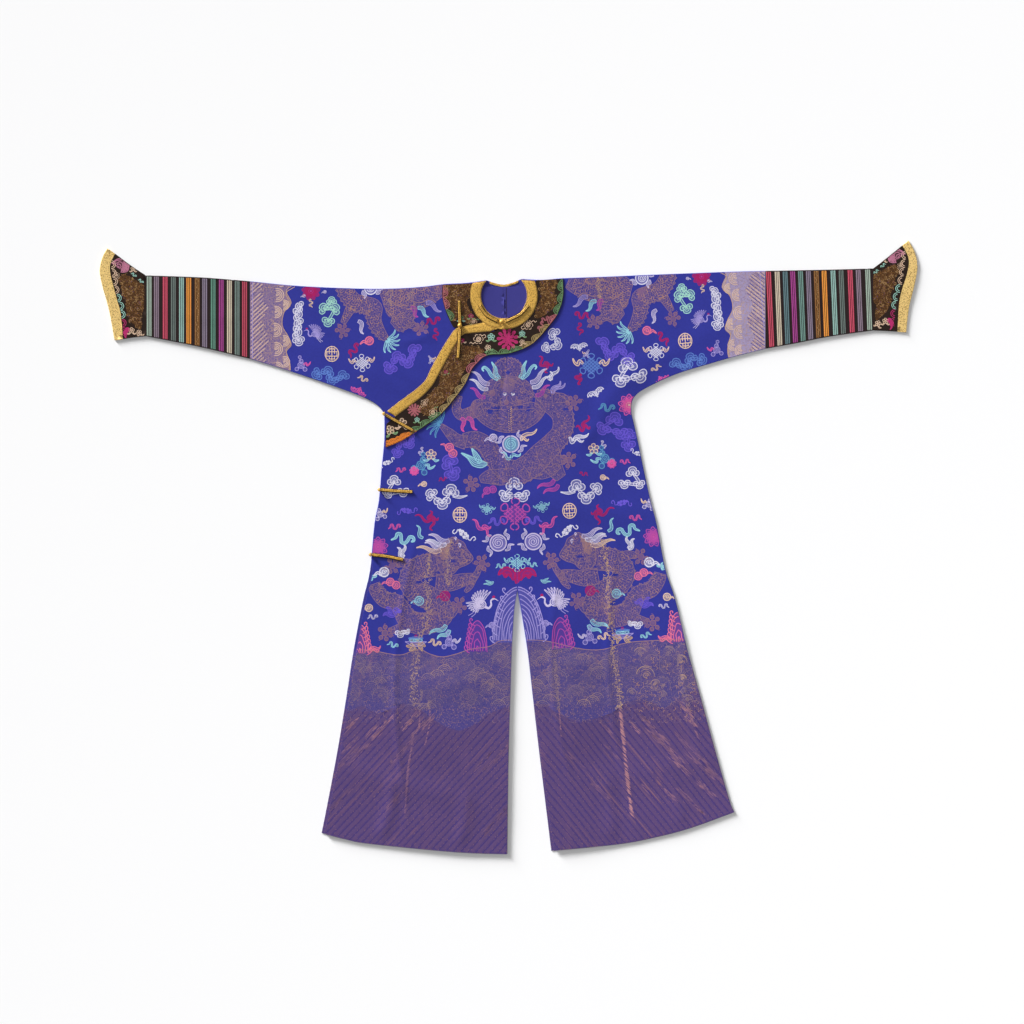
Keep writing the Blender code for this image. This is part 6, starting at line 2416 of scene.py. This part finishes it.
@dataclass
class Tailor:
    """Makes the pieces of cloth and puts each in place of its CAD node."""

    dyer: Dyer
    drape: Drape

    def panel(self, node: str, cloth: Cloth, flat: tuple[float, float], work: Needlework,
            step: float = FRONT_STEP, crown: float = 0.0) -> bpy.types.Object:
        """A piece of one layer.

        Args:
            node: The CAD node that it stands for.
            cloth: What it is made of.
            flat: Width and length of its cut, in metres.
            work: The ornament on it.
            step: Spacing of the mesh's points.
            crown: How far its edges are rolled down.

        Returns:
            The piece.
        """
        low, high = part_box(node)
        wall = min(high.z - low.z, 2 * WALL)
        shell = Shell(surface_outline(node), shell_height(node), step, self.drape, wall, crown=crown)
        body = MeshBuilder()
        shell.build_into(body, dye(cloth.face), dye(T.LINING), work.patches)
        return self._finish(node, cloth, flat, body, [(shell, work, (), True)])

    def folded(self, node: str, cloth: Cloth, flat: tuple[float, float], front: Needlework = PLAIN,
            back: Needlework = PLAIN, under: Sequence[str] = ()) -> bpy.types.Object:
        """A piece with a front and a back, joined by folds where their outlines meet.

        Args:
            node: The CAD node that it stands for.
            cloth: What it is made of.
            flat: Width and length of its cut, in metres.
            front: The ornament on the front.
            back: The ornament on the back.
            under: CAD nodes that hide parts of the front.

        Returns:
            The piece.
        """
        top = Shell(surface_outline(node), shell_height(node), FRONT_STEP, self.drape)
        bottom = Shell(surface_outline(node, False), shell_height(node), BACK_STEP, self.drape,
                WALL - UNDERSIDE_RELIEF, True)
        body = MeshBuilder()
        top.build_into(body, dye(cloth.face), dye(T.LINING), front.patches)
        hem = [patch for patch in back.patches if patch.colour in (dye(T.SMOKE), dye(T.HEM))]
        bottom.build_into(body, dye(cloth.face), dye(T.LINING), back.patches, hem)
        add_folds(body, top, bottom, dye(cloth.face))
        holes = [surface_outline(one) for one in under]
        return self._finish(node, cloth, flat, body, [(top, front, holes, True), (bottom, back, (), False)])

    def _finish(self, node: str, cloth: Cloth, flat: tuple[float, float], body: MeshBuilder,
            faces: Sequence[tuple]) -> bpy.types.Object:
        piece = body.build(node + "_cloth", [self.dyer.material(cloth.finish), self.dyer.material(LINING)])
        declare(piece, node, cloth.slot)
        for number, (shell, work, holes, detail) in enumerate(faces):
            builder = MeshBuilder()
            shell.lay(builder, work, holes, detail)
            if builder.count:
                name = f"{node}_{'front' if number == 0 else 'back'}_threads"
                thread = builder.build(name, [self.dyer.material(THREAD)])
                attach(thread, "root")
                LOG.info("%s: %d faces", name, len(thread.data.polygons))
        area = sum(polygon.area for polygon in piece.data.polygons) / 2
        LOG.info("%s: %d faces, %.4f m2, cut %.3f x %.3f m", piece.name, len(piece.data.polygons), area,
                *flat)
        return piece


HEM_TOP = -0.27  # the hem's water begins at this height at the sides
MEETING = 0.4 * MM  # front and back join where their outlines are this close
FOLD_BULGE = 0.9 * MM
FOLD_ROWS = 6


def add_folds(builder: MeshBuilder, top: Shell, bottom: Shell, colour: Colour) -> None:
    """Closes front and back with a round fold wherever their outlines run together."""
    spans = bottom.outline[None] - top.outline[:, None]
    nearest = np.sqrt((spans ** 2).sum(2)).argmin(1)
    meets = np.abs(signed_distance(top.outline, bottom.outline)) < MEETING
    out = outward(top.upper_rim)
    rows = []
    for index, high in enumerate(top.upper_rim):
        low = np.array([high[0], high[1], bottom.lower_rim[nearest[index]][2]])
        middle, half = (high + low) / 2, (high - low) / 2
        rows.append([middle + half * math.cos(angle) + out[index] * FOLD_BULGE * math.sin(angle)
                for angle in np.linspace(0, math.pi, FOLD_ROWS)])
    for start, end in runs(meets):
        places = np.vstack(rows[start:end])
        faces = [[at, at + 1, at + FOLD_ROWS + 1, at + FOLD_ROWS] for step in range(end - start - 1)
                for at in range(FOLD_ROWS * step, FOLD_ROWS * step + FOLD_ROWS - 1)]
        silk = colour == dye(T.GROUND)
        shades = [dye(T.HEM) if silk and places[face[0], 1] < HEM_TOP else colour for face in faces]
        builder.add(places, faces, shades)


# ---- Toggles ----
STRAP_CORD = 1.5 * MM  # radius of one of a strap's two cords
STRAP_SHADE = 4.6 * MM  # half the width of the dark sheet under them that paints their shadow outline
SHADOW_SHEET_ROWS = ((1, 0.4 * MM), (0, 0.6 * MM), (-1, 0.4 * MM))  # that painted shadow sheet's sides and heights
CORD_STEP = 1.1 * MM
CORD_TWIST = 0.62  # how far the strands turn from ring to ring
CORD_SIDES = 8
CORD_SIT = 0.98  # how far a strap's cords lie from its middle, by their radius
STRAND_SIZE, STRAND_BULGE = 0.9, 0.12  # a twisted cord's radius and how its strands stand out of it
CORD_END = 0.35  # the last ring's size
BALL_AROUND, BALL_ALONG = 40, 22
RIBS, RIB_DEPTH, RIB_SLANT = 5, 0.05, 1.5
KNOT_POINTS = 150
KNOT_WRAPS, KNOT_LOBES = 3, 4  # how often the cord goes round, and swings up and down
KNOT_SWING = 1.05  # how far it swings, in radians
KNOT_CORE, KNOT_CROSSING = 0.74, 0.10  # the winding's radius by the knot's, and how it passes over itself
KNOT_CORD = 0.24  # the cord's radius by the knot's
CIRCUIT = np.arange(CORD_SIDES) * math.tau / CORD_SIDES


def unit(rows: Points) -> Points:
    """Each row scaled to length one."""
    return rows / np.linalg.norm(rows, axis=1, keepdims=True)


def ring(middle: np.ndarray, reach: float | np.ndarray, across: np.ndarray, up: np.ndarray) -> Points:
    """Points round a cord's middle."""
    return middle + reach * (np.cos(CIRCUIT)[:, None] * across + np.sin(CIRCUIT)[:, None] * up)


def tube_faces(rings: int, closed: bool = False) -> list[list[int]]:
    """The faces between the rings of a cord, and of its ends where it isn't closed."""
    count, total = CORD_SIDES, rings
    faces = []
    for row in range(rings if closed else rings - 1):
        here, there = count * row, count * ((row + 1) % total)
        faces += [[there + k, there + (k + 1) % count, here + (k + 1) % count, here + k]
                for k in range(count)]
    if not closed:
        faces += [list(range(count)), [count * (rings - 1) + k for k in range(count)][::-1]]
    return faces


def seat(node: str, drape: Drape) -> tuple[np.ndarray, float]:
    """The middle of a button or knot on the draped cloth, and its radius."""
    low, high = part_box(node)
    centre = (low + high) / 2
    rise = drape.apply(np.array([[centre.x, centre.y, low.z]]))[0, 2] - low.z
    return np.array([centre.x, centre.y, centre.z + rise]), (high.x - low.x) / 2


@dataclass(frozen=True)
class Strap:
    """A doubled cord of gold silk that is sewn down and ends in a loop or a knot."""

    node: str
    path: tuple[tuple[float, float], ...]

    def build(self, dyer: Dyer, drape: Drape) -> None:
        """Lays two twisted cords side by side over a dark sheet that paints their shadow outline."""
        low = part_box(self.node)[0]
        builder = MeshBuilder()
        line = evenly(smooth(self.path, 8), CORD_STEP)
        side, count = normals(line), len(line)
        for hand in (-1, 1):
            centre = np.column_stack([line + side * hand * STRAP_CORD * CORD_SIT,
                    np.full(count, low.z + STRAP_CORD)])
            self._cord(builder, drape.apply(centre), hand)
        # a dark sheet a little wider than the cords: painted shadow along their edges
        shadow_rows = [drape.apply(np.column_stack([line + side * off * STRAP_SHADE,
                np.full(count, low.z + rise)])) for off, rise in SHADOW_SHEET_ROWS]
        builder.add(np.vstack(shadow_rows), [[level + k, level + count + k, level + count + k + 1,
                level + k + 1] for level in (0, count) for k in range(count - 1)], dye(T.DARK))
        declare(builder.build(self.node + "_cord", [dyer.material(GOLD_CLOTH)]), self.node, Slot.GOLD)

    @staticmethod
    def _cord(builder: MeshBuilder, centre: Points, hand: int) -> None:
        """Adds one cord with the bulges of its strands."""
        run = unit(np.gradient(centre, axis=0))
        across = unit(np.column_stack([-run[:, 1], run[:, 0], np.zeros(len(run))]))
        up = np.cross(run, across)
        rings = []
        for index, middle in enumerate(centre):
            reach = STRAP_CORD * (STRAND_SIZE + STRAND_BULGE * np.cos(2 * (CIRCUIT
                    + hand * index * CORD_TWIST)))
            if index in (0, len(centre) - 1):
                reach = reach * CORD_END
            rings.append(ring(middle, reach[:, None], across[index], up[index]))
        builder.add(np.vstack(rings), tube_faces(len(centre)), dye(T.BRIGHT_GOLD))


@dataclass(frozen=True)
class Ball:
    """A gilt button: a ribbed ball."""

    node: str

    def build(self, dyer: Dyer, drape: Drape) -> None:
        """Turns the profile and cuts the ribs."""
        centre, radius = seat(self.node, drape)
        builder = MeshBuilder()
        around, along = BALL_AROUND, BALL_ALONG
        rings = []
        for row in range(along + 1):
            tilt = math.pi * row / along
            angle = np.arange(around) * math.tau / around
            ribs = 1 - RIB_DEPTH * np.abs(np.sin(RIBS * angle + tilt * RIB_SLANT)) ** 3 * math.sin(tilt)
            circuit = polar(radius * math.sin(tilt) * ribs, angle, centre)
            rings.append(np.column_stack([circuit, np.full(around, centre[2] + radius * math.cos(tilt))]))
        faces = [[around * row + k, around * (row + 1) + k, around * (row + 1) + (k + 1) % around,
                around * row + (k + 1) % around] for row in range(along) for k in range(around)]
        builder.add(np.vstack(rings), faces, dye(T.BRIGHT_GOLD))
        declare(builder.build(self.node + "_ball", [dyer.material(GILT)]), self.node, Slot.GILT)


@dataclass(frozen=True)
class CordKnot:
    """A knot button: one gold cord wound over itself into a ball."""

    node: str

    def build(self, dyer: Dyer, drape: Drape) -> None:
        """Winds the cord."""
        centre, radius = seat(self.node, drape)
        turns = np.linspace(0, math.tau, KNOT_POINTS, endpoint=False)
        tilt = math.pi / 2 + KNOT_SWING * np.sin(KNOT_LOBES * turns)
        reach = radius * KNOT_CORE * (1 + KNOT_CROSSING * np.cos(KNOT_WRAPS * KNOT_LOBES * turns))
        middle = np.column_stack([reach * np.sin(tilt) * np.cos(KNOT_WRAPS * turns),
                reach * np.sin(tilt) * np.sin(KNOT_WRAPS * turns), reach * np.cos(tilt)])
        run = unit(np.roll(middle, -1, axis=0) - np.roll(middle, 1, axis=0))
        across = unit(np.cross(run, unit(middle)))
        up = np.cross(across, run)
        rings = [ring(centre + place, radius * KNOT_CORD, across[k], up[k]) for k,
                place in enumerate(middle)]
        builder = MeshBuilder()
        builder.add(np.vstack(rings), tube_faces(KNOT_POINTS, True), dye(T.BRIGHT_GOLD))
        declare(builder.build(self.node + "_cord", [dyer.material(GOLD_CLOTH)]), self.node, Slot.GOLD)


STRAPS = (
    Strap("toggle_neck_tail", ((-0.070, 0.588), (-0.053, 0.564), (-0.0260, 0.5495))),
    Strap("toggle_neck_loop", ((-0.008, 0.5490), (0.026, 0.5650), (0.048, 0.588))),
    Strap("toggle_chest_tail", ((-0.120, 0.599), (-0.119, 0.5700), (-0.118, 0.5430))),
    Strap("toggle_chest_loop", ((-0.118, 0.5310), (-0.120, 0.497), (-0.123, 0.460))),
    Strap("toggle_underarm_loop", ((-0.2985, 0.3222), (-0.270, 0.3055), (-0.232, 0.284))),
    Strap("toggle_upper_side_loop", ((-0.3098, 0.1400), (-0.272, 0.1370), (-0.233, 0.135))),
    Strap("toggle_lower_side_loop", ((-0.3313, -0.0180), (-0.294, -0.022), (-0.256, -0.030)))
)


# ---- The robe ----
class Robe:
    """The whole garment, laid flat with its overlap closed."""

    def __init__(self) -> None:
        """Makes the dyes, the drawings and the creases."""
        self.dyer = Dyer()
        self.drape = Drape(CREASES)
        self.designs = Designs()
        self.tailor = Tailor(self.dyer, self.drape)

    def build(self) -> None:
        """Makes every piece."""
        self._lengths()
        self._sleeve_ends()
        self._collar()
        self._toggles()

    def _lengths(self) -> None:
        """The loom lengths that fall over the shoulders, and the overlap."""
        designs, tailor = self.designs, self.tailor
        tailor.folded("right_length", ROBE, (0.65, 2.78), designs.front, designs.back,
                ("outer_front", "inner_collar_facing"))
        tailor.folded("left_length", ROBE, (0.64, 2.80), designs.front, designs.back, ("collar_facing",))
        tailor.panel("outer_front", ROBE, (0.47, 1.30), designs.front)

    def _sleeve_ends(self) -> None:
        """The striped bands, the horse-hoof cuffs and their gold edges."""
        designs, tailor = self.designs, self.tailor
        for side in ("right", "left"):
            tailor.folded(f"{side}_sleeve_band", BANDED, (0.26, 0.40), designs.bands, designs.bands)
            tailor.folded(f"{side}_cuff", FACED, (0.10, 0.46), designs.cuffs, designs.cuffs)
            tailor.folded(f"{side}_cuff_edging", CUFF_EDGED, (0.028, 0.50))

    def _collar(self) -> None:
        """The dark facings, the gold bindings and edgings, and the lining in the neck."""
        designs, tailor = self.designs, self.tailor
        tailor.panel("collar_facing", FACED, (0.20, 0.60), designs.facing, FACING_STEP)
        tailor.panel("inner_collar_facing", FACED, (0.12, 0.11), designs.facing, FACING_STEP)
        for node, flat in (("neck_binding_inner", (0.030, 0.15)), ("neck_binding_outer", (0.030, 0.20)),
                ("neck_binding_back", (0.010, 0.075)), ("overlap_edging_top", (0.022, 0.10)),
                ("overlap_edging_side", (0.022, 0.30))):
            tailor.panel(node, EDGED, flat, designs.edgings.get(node, PLAIN), EDGING_STEP, EDGING_CROWN)
        for node in ("neck_lining_right", "neck_lining_left"):
            tailor.panel(node, LINED, (0.06, 0.08), designs.seam, FACING_STEP)

    def _toggles(self) -> None:
        """The straps, gilt buttons and cord knots."""
        for strap in STRAPS:
            strap.build(self.dyer, self.drape)
        for node in ("button_neck", "button_chest"):
            Ball(node).build(self.dyer, self.drape)
        for node in ("knot_underarm", "knot_upper_side", "knot_lower_side"):
            CordKnot(node).build(self.dyer, self.drape)


# ---- The room ----
FLOOR_REACH = 12.0
FLOOR_COLOUR = (0.88, 0.88, 0.885, 1.0)
FLOOR_HEIGHT = -0.0002  # just under the cloth


class LampKind(Enum):
    """Near soft panels and far, even ones."""

    PANEL = "AREA"
    FAR = "SUN"


@dataclass(frozen=True)
class Lamp:
    """A soft studio light that looks at the robe."""

    name: str
    kind: LampKind
    place: tuple[float, float, float]
    power: float
    size: float  # a panel's side in metres, or a far lamp's spread in degrees

    def build(self) -> None:
        """Hangs the lamp."""
        data = bpy.data.lights.new(self.name, self.kind.value)
        if self.kind is LampKind.PANEL:
            data.shape = "SQUARE"
            data.size = self.size
        else:
            data.angle = math.radians(self.size)
        data.energy = self.power
        lamp = bpy.data.objects.new(self.name, data)
        lamp.location = self.place
        lamp.rotation_euler = (-Vector(self.place)).to_track_quat("-Z", "Y").to_euler()
        bpy.context.scene.collection.objects.link(lamp)


@dataclass(frozen=True)
class Studio:
    """Floor, lamps, sky and camera."""

    lamps: tuple[Lamp, ...] = (Lamp("key_lamp", LampKind.FAR, (-4.2, 4.6, 1.7), 4.4, 14.0),
            Lamp("low_lamp", LampKind.FAR, (-4.2, 4.6, 1.0), 6.6, 12.0),
            Lamp("fill_lamp", LampKind.PANEL, (1.5, -1.0, 6.0), 60.0, 5.0),)
    sky: float = 0.30
    camera_place: tuple[float, float, float] = (0.0085, 0.086, 8.0)
    lens: float = 115.7

    def build(self) -> None:
        """Sets the room up."""
        self._floor()
        for lamp in self.lamps:
            lamp.build()
        world = bpy.data.worlds.new("soft_sky")
        world.use_nodes = True
        light = world.node_tree.nodes["Background"].inputs
        light["Color"].default_value = (1.0, 1.0, 1.0, 1.0)
        light["Strength"].default_value = self.sky
        bpy.context.scene.world = world
        data = bpy.data.cameras.new("camera")
        data.lens = self.lens
        data.sensor_width = 36.0
        camera = bpy.data.objects.new("camera", data)
        camera.location = self.camera_place
        bpy.context.scene.collection.objects.link(camera)
        bpy.context.scene.camera = camera
        bpy.context.scene.view_settings.view_transform = "Standard"

    @staticmethod
    def _floor() -> None:
        """Lays the pale floor."""
        builder = MeshBuilder()
        corners = np.array([(-1, -1), (1, -1), (1, 1), (-1, 1)]) * FLOOR_REACH
        builder.add(np.column_stack([corners, np.full(4, FLOOR_HEIGHT)]), [[0, 1, 2, 3]], FLOOR_COLOUR)
        material = bpy.data.materials.new("pale_floor")
        material.use_nodes = True
        shader = material.node_tree.nodes["Principled BSDF"].inputs
        shader["Base Color"].default_value = FLOOR_COLOUR
        shader["Roughness"].default_value = 0.9
        shader["Specular IOR Level"].default_value = 0.1
        builder.build("floor", [material])


def main() -> None:
    """Builds the robe and the room."""
    logging.basicConfig(level=logging.INFO, format="%(name)s %(message)s")
    Robe().build()
    Studio().build()


if __name__ == "__main__":
    main()
